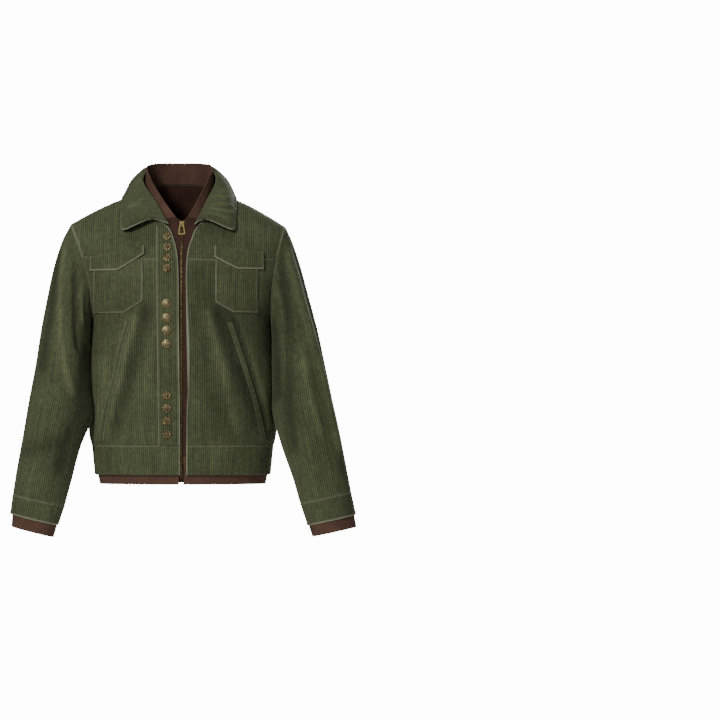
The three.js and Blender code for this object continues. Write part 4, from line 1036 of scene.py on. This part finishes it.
@made_once
def knit_material(name, colour_hex, dark_hex, pitch):
    """Brushed wool-blend rib knit: matt, with columns of loops and a little fuzz."""
    material, tree, output = new_material(name)
    uv = add_node(tree, "ShaderNodeUVMap", {"uv_map": "cloth"}).outputs[0]
    place = add_node(tree, "ShaderNodeTexCoord").outputs["Object"]
    split = add_node(tree, "ShaderNodeSeparateXYZ", None, {0: uv})
    across = add_node(tree, "ShaderNodeMath", {"operation": "MULTIPLY"},
                      {0: split.outputs[0], 1: 2 * math.pi / pitch}).outputs[0]
    wave = add_node(tree, "ShaderNodeMath", {"operation": "COSINE"}, {0: across}).outputs[0]
    # Loops 1.3 mm high along each column
    rise = add_node(tree, "ShaderNodeMath", {"operation": "MULTIPLY"},
                    {0: split.outputs[1], 1: 2 * math.pi / 0.0013}).outputs[0]
    loops = add_node(tree, "ShaderNodeMath", {"operation": "SINE"}, {0: rise}).outputs[0]
    fuzz = add_node(tree, "ShaderNodeTexNoise", None,
                    {"Vector": place, "Scale": 900.0, "Detail": 3.0}).outputs[0]
    patches = add_node(tree, "ShaderNodeTexNoise", None,
                       {"Vector": place, "Scale": 35.0, "Detail": 3.0}).outputs[0]
    column_share = add_node(tree, "ShaderNodeMapRange", None,
                            {0: wave, 1: -1.0, 2: 0.4, 3: 0.25, 4: 1.0}).outputs[0]
    mixed = add_node(tree, "ShaderNodeMix", {"data_type": "RGBA"},
                     {0: column_share, 6: linear(dark_hex), 7: linear(colour_hex)}).outputs[2]
    shade = add_node(tree, "ShaderNodeMath", {"operation": "MULTIPLY"}, {
        0: add_node(tree, "ShaderNodeMapRange", None,
                    {0: fuzz, 1: 0.25, 2: 0.75, 3: 0.75, 4: 1.25}).outputs[0],
        1: add_node(tree, "ShaderNodeMapRange", None,
                    {0: patches, 1: 0.3, 2: 0.7, 3: 0.84, 4: 1.16}).outputs[0],
    }).outputs[0]
    shaded = add_node(tree, "ShaderNodeVectorMath", {"operation": "SCALE"},
                      {0: mixed, "Scale": shade}).outputs[0]
    height = add_node(tree, "ShaderNodeMath", {"operation": "MULTIPLY_ADD"},
                      {0: loops, 1: 0.25, 2: fuzz}).outputs[0]
    bump = add_node(tree, "ShaderNodeBump", None,
                    {"Strength": 0.6, "Distance": 0.0004, "Height": height}).outputs[0]
    shader = add_node(tree, "ShaderNodeBsdfPrincipled", None, {
        "Base Color": shaded, "Roughness": 0.95, "IOR": 1.45, "Specular IOR Level": 0.2,
        "Sheen Weight": 0.08, "Sheen Roughness": 0.5, "Sheen Tint": linear("#a58a7c"),
        "Normal": bump,
    })
    tree.links.new(shader.outputs[0], output.inputs[0])
    return material


@made_once
def thread_material(name, colour_hex):
    """Spun polyester sewing thread: a little glossier than the cloth round it."""
    material, tree, output = new_material(name)
    place = add_node(tree, "ShaderNodeTexCoord").outputs["Object"]
    twist = add_node(tree, "ShaderNodeTexNoise", None,
                     {"Vector": place, "Scale": 1500.0, "Detail": 1.0}).outputs[0]
    shade = add_node(tree, "ShaderNodeMapRange", None,
                     {0: twist, 1: 0.3, 2: 0.7, 3: 0.8, 4: 1.2}).outputs[0]
    colour = add_node(tree, "ShaderNodeVectorMath", {"operation": "SCALE"},
                      {0: linear(colour_hex)[:3], "Scale": shade}).outputs[0]
    shader = add_node(tree, "ShaderNodeBsdfPrincipled", None,
                      {"Base Color": colour, "Roughness": 0.6, "IOR": 1.5})
    tree.links.new(shader.outputs[0], output.inputs[0])
    return material


@made_once
def brass_material(name, bright_hex, dull_hex, roughness):
    """Antiqued brass: stamped and tumbled, with brown tarnish in patches and rubbed bright
    elsewhere."""
    material, tree, output = new_material(name)
    place = add_node(tree, "ShaderNodeTexCoord").outputs["Object"]
    tarnish = add_node(tree, "ShaderNodeTexNoise", None,
                       {"Vector": place, "Scale": 420.0, "Detail": 4.0}).outputs[0]
    share = add_node(tree, "ShaderNodeMapRange", None,
                     {0: tarnish, 1: 0.38, 2: 0.62, 3: 0.0, 4: 1.0}).outputs[0]
    colour = add_node(tree, "ShaderNodeMix", {"data_type": "RGBA"},
                      {0: share, 6: linear(dull_hex), 7: linear(bright_hex)}).outputs[2]
    rough = add_node(tree, "ShaderNodeMapRange", None,
                     {0: tarnish, 1: 0.3, 2: 0.7, 3: roughness + 0.15, 4: roughness - 0.08}).outputs[0]
    bump = add_node(tree, "ShaderNodeBump", None,
                    {"Strength": 0.25, "Distance": 0.0002, "Height": tarnish}).outputs[0]
    shader = add_node(tree, "ShaderNodeBsdfPrincipled", None, {
        "Base Color": colour, "Metallic": 1.0, "Roughness": rough, "Normal": bump})
    tree.links.new(shader.outputs[0], output.inputs[0])
    return material


def green_corduroy():
    """The jacket's own cloth."""
    settings = bpy.context.scene.corduroy_jacket
    return corduroy_material("cotton corduroy olive", tuple(settings.green) + (1,),
                             linear("#313524"), linear("#8d907a"))


def brown_knit():
    """The knit of the ribs and the inner collar."""
    return knit_material("brushed knit brown", "#523b31", "#30201a", KNIT_COLUMN * MM)


def shaded_facing_knit():
    """The knit of the zip facings: the brown knit darkened as painted shade, since the facings lie in
    shade.
    """
    return knit_material("brushed knit dark brown", "#3c2821", "#261814", KNIT_COLUMN * MM)


def dark_lining():
    """The plain inner side of the green cloth."""
    return knit_material("brushed lining dark brown", "#35211a", "#221511", KNIT_COLUMN * MM)


def green_thread():
    """The thread of all the stitching."""
    return thread_material("sewing thread olive", "#4b4f39")


def plain_brass():
    """The plain domed studs' metal."""
    return brass_material("tumbled brass", "#7a7050", "#4c4531", 0.48)


def antique_brass():
    """The flowered studs' metal."""
    return brass_material("antiqued brass", "#74694b", "#383023", 0.5)


# Making pieces

def finish_piece(obj, material, body="jacket", replaces=()):
    """Gives a piece its material, the body it moves with and the nodes it stands for."""
    obj.data.materials.append(material)
    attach(obj, body)
    if replaces:
        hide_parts(*replaces)
    return obj


def finish_cloth(obj, material, slot):
    """The node that it stands for has its name, without the word cloth."""
    finish_piece(obj, material, replaces=(obj.name.replace("_cloth", ""),))
    obj.data.materials.append(material if slot == "brown_knit" else dark_lining())
    return obj


def front_net(side, low, high, columns, rows):
    """Points of a front and the height of the folds there."""
    v = np.linspace(low, high, rows)
    start = front_edge_share(side, v)[:, None]
    u, v = np.broadcast_arrays(lerp(start, 1, np.linspace(0, 1, columns)[None, :]), v[:, None])
    p = torso(side, "front", u, v)
    return p, body_folds("front", u, v, p)


def back_net(low, high, columns, rows):
    """Points of the back and the height of the folds there."""
    across, v = np.meshgrid(np.linspace(-1, 1, columns), np.linspace(low, high, rows))
    right, left = (torso(side, "back", np.abs(across), v) for side in SIDES)
    p = np.where((across < 0)[..., None], right, left)
    return p, body_folds("back", np.abs(across), v, p)


class JACKET_OT_fronts(bpy.types.Operator):
    """Adds both fronts and front yokes"""
    bl_idname = "jacket.fronts"
    bl_label = "Fronts"

    def execute(self, context):
        sewn = []
        for side, word in SIDES.items():
            net, folds = front_net(side, 0, YOKE_V, 43, 66)
            cloth = Cloth(net, TORSO_MIDDLE, measure=(1, 1, 0), x_side=side, folds=folds)
            seams = {"low": ((6,), 0.5, 0.8), "high": ((), 0, 0.4), "top": ((), 0, 0.1)}
            piece = add_cloth(f"front_cloth_{word}", cloth, CORDUROY, seams)
            finish_cloth(piece, green_corduroy(), "green_corduroy")
            sewn.append((cloth, seams))
            net, folds = front_net(side, YOKE_V, TOP_V, 43, 24)
            cloth = Cloth(net, TORSO_MIDDLE, measure=(1, 0, 0), x_side=side, folds=folds)
            seams = {"bottom": ((3, 9.5), 0.6, 0.35), "low": ((6,), 0.5, 0.8), "high": ((), 0, 0.6),
                     "top": ((), 0, 0.3)}
            piece = add_cloth(f"front_yoke_cloth_{word}", cloth, CORDUROY, seams, bevel=-1)
            finish_cloth(piece, green_corduroy(), "green_corduroy")
            sewn.append((cloth, seams))
        finish_piece(sew("fronts_stitching", sewn), green_thread())
        return {"FINISHED"}


class JACKET_OT_back(bpy.types.Operator):
    """Adds the back and the back yoke"""
    bl_idname = "jacket.back"
    bl_label = "Back"

    def execute(self, context):
        net, folds = back_net(0, YOKE_V, 85, 66)
        back = Cloth(net, TORSO_MIDDLE, measure=(1, 1, 0), folds=folds)
        seams = {"low": ((), 0, 0.25), "high": ((), 0, 0.25), "top": ((), 0, 0.15)}
        piece = add_cloth("back_cloth", back, CORDUROY, seams)
        finish_cloth(piece, green_corduroy(), "green_corduroy")
        net, folds = back_net(YOKE_V, TOP_V, 85, 24)
        yoke = Cloth(net, TORSO_MIDDLE, measure=(1, 0, 0), folds=folds)
        yoke_seams = {"bottom": ((3, 9.5), 0.6, 0.4), "low": ((), 0, 0.5), "high": ((), 0, 0.5),
                      "top": ((), 0, 0.2)}
        piece = add_cloth("back_yoke_cloth", yoke, CORDUROY, yoke_seams, bevel=-1)
        finish_cloth(piece, green_corduroy(), "green_corduroy")
        finish_piece(sew("back_stitching", [(yoke, yoke_seams)]), green_thread())
        return {"FINISHED"}


class JACKET_OT_sleeves(bpy.types.Operator):
    """Adds the top and under sleeves, the cuffs and the knit ribs in them"""
    bl_idname = "jacket.sleeves"
    bl_label = "Sleeves and cuffs"

    def execute(self, context):
        for side, word in SIDES.items():
            sewn = []
            seam = climb_angle("back", SLEEVE_SEAM)
            inside = tube(SLEEVE[side], 0.5, np.array([np.pi / 2, -np.pi / 2])).mean(0)
            for part, start, end, columns, datum in (
                    ("top", seam, np.pi, 61, 0.42), ("under", -np.pi, seam, 35, 0.5)):
                a, b = np.meshgrid(np.linspace(start, end, columns), np.linspace(0, 1, 80))
                cloth = Cloth(sleeve(side, b, a), inside, datum=datum,
                              folds=sleeve_folds(side, b, a))
                rear = "low" if part == "top" else "high"
                seams = {rear: ((4,) if part == "top" else (), 0.6, 0.45), "bottom": ((), 0, 0.5),
                         "top": ((), 0, 0.2)}
                piece = add_cloth(f"{part}_sleeve_cloth_{word}", cloth, CORDUROY, seams)
                finish_cloth(piece, green_corduroy(), "green_corduroy")
                sewn.append((cloth, seams))
            self.cuff(side, word, seam, sewn)
            finish_piece(sew(f"sleeve_stitching_{word}", sewn), green_thread())
        return {"FINISHED"}

    def cuff(self, side, word, seam, sewn):
        """One cuff, open at its slit, and the closed rib in it."""
        table = CUFF[side]
        inside = tube(table, 0.5, np.array([0, np.pi])).mean(0)
        start = seam + CUFF_SLIT_ANGLE
        a, b = np.meshgrid(np.linspace(start, start + 2 * np.pi - 2 * CUFF_SLIT_ANGLE, 73),
                           np.linspace(0, 1, 5))
        cloth = Cloth(tube(table, b, a), inside, parallel=True)
        seams = {"bottom": ((5,), 0.5, 0.3), "top": ((5,), 0.4, 0.8), "low": ((), 0, 0.5),
                 "high": ((), 0, 0.5)}
        piece = add_cloth(f"cuff_cloth_{word}", cloth, CORDUROY, seams, step=5, bevel=-1)
        finish_cloth(piece, green_corduroy(), "green_corduroy_edges")
        sewn.append((cloth, seams))
        a, b = np.meshgrid(start + np.linspace(0, 2 * np.pi, 73), np.linspace(0, 1, 7))
        top = tube(table, 0 * a + RIB_START, a)
        centre = tube(table, RIB_START, np.array([0, np.pi])).mean(0)
        top = top - unit(top - centre) * RIB_INSET
        end = tube(np.array([(0,) + RIB_END[side], (1,) + RIB_END[side]]), 0 * a, a)
        cloth = Cloth(lerp(top, end, b[..., None]), inside, datum=0)
        piece = add_cloth(f"cuff_rib_cloth_{word}", cloth, KNIT, wale=RIB_WALE, step=6,
                          columns=2, closed=True, bevel=0.5)
        finish_cloth(piece, brown_knit(), "brown_knit")


class JACKET_OT_hem(bpy.types.Operator):
    """Adds the hem band and the knit rib below it"""
    bl_idname = "jacket.hem"
    bl_label = "Hem"

    def execute(self, context):
        a, b = np.meshgrid(np.linspace(0, 1, 161), np.linspace(0, 1, 7))
        inside = np.array([0.0, 0, -525])
        band = Cloth(hem_point(a, lerp(HEM_TOP, HEM_BOTTOM, b), HEM_TAPER * b, 0, HEM_EDGES), inside,
                     parallel=True)
        seams = {"bottom": ((4,), 0.5, 0.35), "top": ((5,), 0.4, 0.0), "low": ((6,), 0.4, 0.8),
                 "high": ((6,), 0.4, 0.8)}
        piece = add_cloth("hem_band_cloth", band, CORDUROY, seams, bevel=-1)
        finish_cloth(piece, green_corduroy(), "green_corduroy_edges")
        finish_piece(sew("hem_stitching", [(band, seams)]), green_thread())
        rib = Cloth(hem_point(a, lerp(RIB_TOP, RIB_BOTTOM, b), RIB_TAPER * b + 2.3,
                              CORDUROY + 0.2, RIB_EDGES), inside, parallel=True)
        piece = add_cloth("hem_rib_cloth", rib, KNIT, wale=RIB_WALE, step=9, columns=2, bevel=0.5)
        finish_cloth(piece, brown_knit(), "brown_knit")
        return {"FINISHED"}


class JACKET_OT_collar(bpy.types.Operator):
    """Adds the collar leaf, its stand and the knit collar inside"""
    bl_idname = "jacket.collar"
    bl_label = "Collar"

    def execute(self, context):
        inside = np.array([COLLAR_LEAN, 0.0, 30])
        leaf = Cloth(leaf_net(), inside, knots_b=LEAF_ROWS)
        seams = {"top": ((6,), 0.7, 0.9), "low": ((), 0, 0.7), "high": ((), 0, 0.7)}
        piece = add_cloth("collar_leaf_cloth", leaf, CORDUROY, seams, wale=(4.4, 0.3), step=3,
                          creases=LEAF_CREASES)
        finish_cloth(piece, green_corduroy(), "green_corduroy_edges")
        finish_piece(sew("collar_stitching", [(leaf, seams)]), green_thread())
        a, b = np.meshgrid(lerp(0.02, 0.98, np.linspace(0, 1, 81)), np.linspace(0, 1, 5))

        def stand_point(side, q):
            foot = collar_line(side, "neck", q) + [0, 0, 1.2]
            head = toward_neck(collar_line(side, "roll", q), 3.2) - [0, 0, 2.7]
            return lerp(foot, head, b[..., None])

        stand = Cloth(round_collar(a, stand_point), inside)
        piece = add_cloth("collar_stand_cloth", stand, CORDUROY, columns=2)
        finish_cloth(piece, green_corduroy(), "green_corduroy")
        a, b = np.meshgrid(np.linspace(0, 1, 81), np.linspace(0, 1, 9))

        def inner_point(side, q):
            foot = toward_neck(collar_line(side, "neck", q), lerp(2.8, 7.5, smoothstep(q, 0.3, 0.6)))
            foot[..., 2] -= 12 * (1 - q ** 3) * smoothstep(q, 0.2, 0.4)
            return lerp(foot, collar_line(side, "brown", q), b[..., None])

        inner = Cloth(round_collar(a, inner_point), inside)
        piece = add_cloth("inner_collar_cloth", inner, KNIT, {"top": ((5,), 0.3, 0.0)},
                          wale=SMOOTH_WALE, step=6, columns=2, bevel=0.5)
        finish_cloth(piece, brown_knit(), "brown_knit")
        return {"FINISHED"}


class JACKET_OT_pockets(bpy.types.Operator):
    """Adds the chest pockets, their flaps and the slanted side pocket edges"""
    bl_idname = "jacket.pockets"
    bl_label = "Pockets"

    def execute(self, context):
        for side, word in SIDES.items():
            sewn = []
            lift = LAY_GAP + POCKET_THICKNESS
            pocket = self.patch(side, CHEST_POCKET[side], lift, lift)
            seams = {edge: ((5,), 0.5, 0.6) for edge in ("low", "high", "bottom")}
            piece = add_cloth(f"chest_pocket_cloth_{word}", pocket, POCKET_THICKNESS, seams, step=6)
            finish_cloth(piece, green_corduroy(), "green_corduroy")
            sewn.append((pocket, seams))
            lift = 2 * LAY_GAP + POCKET_THICKNESS + FLAP_THICKNESS + 0.4
            flap = self.patch(side, FLAP[side], lift, FLAP_THICKNESS + 0.5)
            seams = {"low": ((5,), 0.5, 0.7), "high": ((5,), 0.5, 0.7), "bottom": ((5,), 0.6, 1.0)}
            piece = add_cloth(f"pocket_flap_cloth_{word}", flap, FLAP_THICKNESS, seams, step=5)
            finish_cloth(piece, green_corduroy(), "green_corduroy_edges")
            sewn.append((flap, seams))
            route = SIDE_POCKET[side]
            a, b = np.meshgrid(np.linspace(0, 1, 5), np.linspace(0, 1, 40))
            x, z = (curve_at(np.linspace(0, 1, len(route)), route[:, k], b) for k in (0, 1))
            net = on_front(side, x - side * WELT_WIDTH * a, z, LAY_GAP + WELT_THICKNESS)
            welt = Cloth(net, TORSO_MIDDLE, parallel=True)
            wear = WELT_WEAR[side]
            seams = {"low": ((2.5,), 0.3, wear), "high": ((), 0, 0.6 * wear)}
            piece = add_cloth(f"side_pocket_welt_cloth_{word}", welt, WELT_THICKNESS, seams, step=7)
            finish_cloth(piece, green_corduroy(), "green_corduroy_edges")
            sewn.append((welt, seams))
            finish_piece(sew(f"pocket_stitching_{word}", sewn), green_thread())
        return {"FINISHED"}

    def patch(self, side, shape, lift, top_lift):
        """A pocket or flap laid on the front, between its top and its slanted lower edge."""
        outer, inner, top_outer, top_inner, _, _, _ = shape
        a, b = np.meshgrid(np.linspace(0, 1, 33), np.linspace(0, 1, 23))
        x = lerp(outer, inner, a)
        top = lerp(top_outer, top_inner, a)
        z = lerp(lower_edge(shape, x), top, b)
        lift = lerp(top_lift, lift, smoothstep(top - z, 0, 4.5))
        return Cloth(on_front(side, x, z, lift), TORSO_MIDDLE)


class JACKET_OT_button_band(bpy.types.Operator):
    """Adds the button band and its studs"""
    bl_idname = "jacket.button_band"
    bl_label = "Button band and studs"

    def execute(self, context):
        a, b = np.meshgrid(np.linspace(0, 1, 9), np.linspace(0, 1, 70))
        z = lerp(HEM_TOP + 1, BAND_TOP, b)
        edge = curve_at(FRONT_EDGE[:, 0], FRONT_EDGE[:, 1], z)
        outer = lerp(BAND_OUTER_BOTTOM, BAND_OUTER_TOP, b)
        net = on_front(RIGHT, lerp(edge, outer, a), z, LAY_GAP + BAND_THICKNESS)
        band = Cloth(net, TORSO_MIDDLE, datum=1.0)
        seams = {"low": ((5,), 0.5, 0.9), "high": ((5,), 0.5, 0.5)}
        piece = add_cloth("button_band_cloth", band, BAND_THICKNESS, seams)
        finish_cloth(piece, green_corduroy(), "green_corduroy_edges")
        finish_piece(sew("button_band_stitching", [(band, seams)]), green_thread())
        for row, (heights, x, diameter) in STUDS.items():
            for i, z in enumerate(heights):
                self.stud(f"{row}_{i + 1}", x, z, diameter / 2, row != "middle")
        return {"FINISHED"}

    def stud(self, name, x, z, radius, flowered):
        """A stud turned about its axis. Flowered ones have eight petals round a raised middle:
        the height rises and falls with the cosine of eight times the angle."""
        foot = on_front(RIGHT, np.array([x]), np.array([z]), STUD_LIFT)[0]
        axis = unit(on_front(RIGHT, np.array([x]), np.array([z]), 1.0)
                    - on_front(RIGHT, np.array([x]), np.array([z]), 0.0))[0]
        up = unit(np.array([0.0, 0, 1]) - axis * axis[2])
        across = np.cross(up, axis)
        turn = np.linspace(0, 2 * np.pi, 64, endpoint=False)[None, :]
        if flowered:
            share = np.array([0.9, 1, 1, 0.95, 0.86, 0.74, 0.6, 0.46, 0.38, 0.3, 0.2, 0.1])[:, None]
            base = np.array([0, 0.4, 1.1, 1.6, 1.9, 2.1, 2.0, 1.7, 1.9, 2.7, 3.1, 3.3])[:, None]
            petal = 0.5 + 0.5 * np.cos(8 * turn)
            ring = np.exp(-(((share - 0.72) / 0.2) ** 2))
            height = base - 0.9 * ring * (1 - petal) * (base > 0.5)
            reach = radius * share * (1 - 0.05 * (1 - petal) * (share > 0.8))
        else:
            share = np.array([0.9, 1, 1, 0.95, 0.88, 0.84, 0.74, 0.6, 0.42, 0.24, 0.1])[:, None]
            base = np.array([0, 0.4, 1.0, 1.6, 1.75, 1.7, 2.2, 2.7, 3.1, 3.3, 3.4])[:, None]
            height, reach = base + 0 * turn, radius * share + 0 * turn
        points = (foot + axis * height[..., None]
                  + across * (reach * np.cos(turn))[..., None] + up * (reach * np.sin(turn))[..., None])
        rings, count = reach.shape
        top = foot + axis * height[-1].mean()
        points = np.concatenate([points.reshape(-1, 3), [foot, top]])
        index = point_numbers(rings, count)
        faces = quads(index).tolist()
        foot_index, top_index = rings * count, rings * count + 1
        faces += [[index[0, i + 1], index[0, i], foot_index] for i in range(count)]
        faces += [[index[-1, i], index[-1, i + 1], top_index] for i in range(count)]
        mesh = bpy.data.meshes.new(f"stud_{name}_metal")
        mesh.from_pydata((points * MM).tolist(), [], faces)
        mesh.polygons.foreach_set("use_smooth", np.ones(len(faces), bool))
        obj = bpy.data.objects.new(f"stud_{name}_metal", mesh)
        bpy.context.scene.collection.objects.link(obj)
        metal = antique_brass() if flowered else plain_brass()
        finish_piece(obj, metal, replaces=(f"stud_{name}",))


class JACKET_OT_zip(bpy.types.Operator):
    """Adds the knit facings and the zip's teeth, and finishes its slider and pull tab"""
    bl_idname = "jacket.zip"
    bl_label = "Zip"

    def execute(self, context):
        for side, word in SIDES.items():
            a, b = np.meshgrid(np.linspace(0, 1, 15), np.linspace(0, 1, 90))
            width = lerp(FACING_WIDTH, FACING_WIDTH_TOP, smoothstep(b, 0.87, 0.98))
            width = lerp(FACING_TAIL, width, smoothstep(b, 0.055, 0.068))
            beside = lerp(0.15, CHAIN_WIDTH / 2 + 0.2, smoothstep(b, 0.965, 0.975))
            x = side * (beside + a * width)
            top = np.interp(np.abs(x), FACING_TOP[:, 0], FACING_TOP[:, 1])
            net = facing_point(x, lerp(FACING_BOTTOM, top, b))
            facing = Cloth(net, TORSO_MIDDLE, datum=0.0)
            piece = add_cloth(f"zip_facing_cloth_{word}", facing, KNIT, wale=SMOOTH_WALE, step=9,
                              columns=2, bevel=0.5)
            # The facings get the brown knit darkened as painted shade
            finish_cloth(piece, shaded_facing_knit(), "brown_knit")
        self.chain()
        for name in ("zip_slider", "zip_pull_tab"):
            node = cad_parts[name]
            node.data.materials.clear()
            node.data.materials.append(brass_material("rubbed brass", "#a2925f", "#7a6d45", 0.36))
        return {"FINISHED"}

    def chain(self):
        """Teeth in two interlocking rows down the zip: each a block with a waist, 2.2 mm apart
        on its own side."""
        z = np.arange(ZIP_BOTTOM + 6, ZIP_TOP - 2, 1.15)
        centre = facing_point(0 * z, z) + [0, -0.4, 0]
        above = facing_point(0 * z, z + 1) + [0, -0.4, 0]
        along = unit(above - centre)
        side = np.where(np.arange(len(z)) % 2, 1.0, -1.0)
        across = np.array([1.0, 0, 0])[None] * side[:, None]
        out = np.cross(along, across)
        out *= np.where(out[:, 1:2] > 0, -1, 1)
        profile_x = np.array([-0.5, 0.9, 1.2, 2.1])
        profile_h = np.array([0.42, 0.42, 0.62, 0.62])
        profile_y = np.array([0.85, 1.05, 1.15, 1.0])
        signs = np.array([(-1, -1), (1, -1), (1, 1), (-1, 1)])
        points = (
            centre[:, None, None] + out[:, None, None] * (CHAIN_THICKNESS / 2 + 0.1)
            + across[:, None, None] * profile_x[None, :, None, None]
            + along[:, None, None] * (profile_h[:, None] * signs[None, :, 0])[None, ..., None]
            + out[:, None, None] * (profile_y[:, None] * signs[None, :, 1])[None, ..., None]
        )
        one = four_sided_bar(len(profile_x))
        faces = np.where((side > 0)[:, None, None], one[None], one[None, :, ::-1])
        start = 4 * len(profile_x) * np.arange(len(z))[:, None, None]
        faces = (faces + start).reshape(-1, 4)
        obj = add_mesh("zip_teeth", points.reshape(-1, 3), faces, sharp=40)
        finish_piece(obj, brass_material("zip brass", "#6c6142", "#3b3423", 0.5),
                     replaces=("zip_chain",))


class JACKET_OT_stage(bpy.types.Operator):
    """Adds the floor, the studio world and the lights"""
    bl_idname = "jacket.stage"
    bl_label = "Stage"

    def execute(self, context):
        turn = np.linspace(0, 2 * np.pi, 96, endpoint=False)
        rim = stack(FLOOR_RADIUS * np.cos(turn), FLOOR_RADIUS * np.sin(turn), FLOOR_Z)
        floor = add_mesh("floor", rim, np.arange(96)[None, :])
        material, tree, output = new_material("matt pale floor paint")
        place = add_node(tree, "ShaderNodeTexCoord").outputs["Object"]
        grain = add_node(tree, "ShaderNodeTexNoise", None, {"Vector": place, "Scale": 8.0}).outputs[0]
        colour = add_node(tree, "ShaderNodeMix", {"data_type": "RGBA"}, {
            0: grain, 6: linear("#e9e9e6"), 7: linear("#efefed")}).outputs[2]
        shader = add_node(tree, "ShaderNodeBsdfPrincipled", None,
                          {"Base Color": colour, "Roughness": 0.9})
        tree.links.new(shader.outputs[0], output.inputs[0])
        floor.data.materials.append(material)
        world = bpy.data.worlds.new("studio")
        world.use_nodes = True
        tree = world.node_tree
        tree.nodes.clear()
        seen = add_node(tree, "ShaderNodeLightPath").outputs["Is Camera Ray"]
        strength = add_node(tree, "ShaderNodeMapRange", None, {0: seen, 3: 0.14, 4: 14.0}).outputs[0]
        sky = add_node(tree, "ShaderNodeBackground", None, {0: (1, 1, 1, 1), 1: strength}).outputs[0]
        add_node(tree, "ShaderNodeOutputWorld", None, {0: sky})
        bpy.context.scene.world = world
        strength = context.scene.corduroy_jacket.light
        for name, place, size, power in (
                ("key", (-1.9, -3.8, 1.7), 0.9, 215), ("fill", (1.6, -3.8, 0.2), 1.4, 16),
                ("top", (0.3, 0.4, 2.4), 1.2, 24), ("back", (1.6, 3.6, 1.5), 1.0, 220)):
            light = bpy.data.lights.new(name, "AREA")
            light.size, light.energy = size, power * strength
            lamp = bpy.data.objects.new(name, light)
            lamp.location = place
            aim = Vector(LIGHT_TARGET) - Vector(place)
            lamp.rotation_euler = aim.to_track_quat("-Z", "Y").to_euler()
            bpy.context.scene.collection.objects.link(lamp)
        return {"FINISHED"}


class JACKET_OT_camera(bpy.types.Operator):
    """Adds the camera at the photograph's distance and height"""
    bl_idname = "jacket.camera"
    bl_label = "Camera"

    def execute(self, context):
        camera = bpy.data.cameras.new("camera")
        camera.sensor_width = SENSOR_WIDTH
        camera.lens = SENSOR_WIDTH * -CAMERA_PLACE[1] / FRAME_WIDTH
        camera.clip_end = 100
        obj = bpy.data.objects.new("camera", camera)
        obj.location = CAMERA_PLACE
        obj.rotation_euler = (math.pi / 2, 0, 0)
        bpy.context.scene.collection.objects.link(obj)
        bpy.context.scene.camera = obj
        return {"FINISHED"}


class JacketSettings(bpy.types.PropertyGroup):
    """Sizes and colours of the jacket"""
    wale_pitch: FloatProperty(name="Wale pitch", description="Distance between two wales",
                              default=4.4 * MM, unit="LENGTH")
    wale_height: FloatProperty(name="Wale height", description="Height of the pile on a wale",
                               default=0.5 * MM, unit="LENGTH")
    green: FloatVectorProperty(name="Green", description="Colour of the pile", subtype="COLOR",
                               default=linear("#454a33")[:3])
    light: FloatProperty(name="Light", description="Strength of the studio lights", default=1.0,
                         subtype="FACTOR")


class JACKET_PT_panel(bpy.types.Panel):
    """Lists the jacket's settings and pieces"""
    bl_idname = "JACKET_PT_panel"
    bl_label = "Corduroy jacket"
    bl_space_type = "VIEW_3D"
    bl_region_type = "UI"
    bl_category = "Jacket"

    def draw(self, context):
        for name in JacketSettings.__annotations__:
            self.layout.prop(context.scene.corduroy_jacket, name)
        for operator in OPERATORS:
            self.layout.operator(operator.bl_idname)


OPERATORS = (JACKET_OT_camera, JACKET_OT_stage, JACKET_OT_fronts, JACKET_OT_back,
             JACKET_OT_sleeves, JACKET_OT_hem, JACKET_OT_collar, JACKET_OT_pockets,
             JACKET_OT_button_band, JACKET_OT_zip)
CLASSES = (JacketSettings, *OPERATORS, JACKET_PT_panel)


def register():
    """Registers the settings, the pieces and the panel."""
    for cls in CLASSES:
        bpy.utils.register_class(cls)
    bpy.types.Scene.corduroy_jacket = PointerProperty(type=JacketSettings)


def unregister():
    """Takes back what register did."""
    del bpy.types.Scene.corduroy_jacket
    for cls in reversed(CLASSES):
        bpy.utils.unregister_class(cls)


def main():
    """Makes the jacket piece by piece."""
    register()
    for operator in OPERATORS:
        group, name = operator.bl_idname.split(".")
        getattr(getattr(bpy.ops, group), name)()


if __name__ == "__main__":
    main()
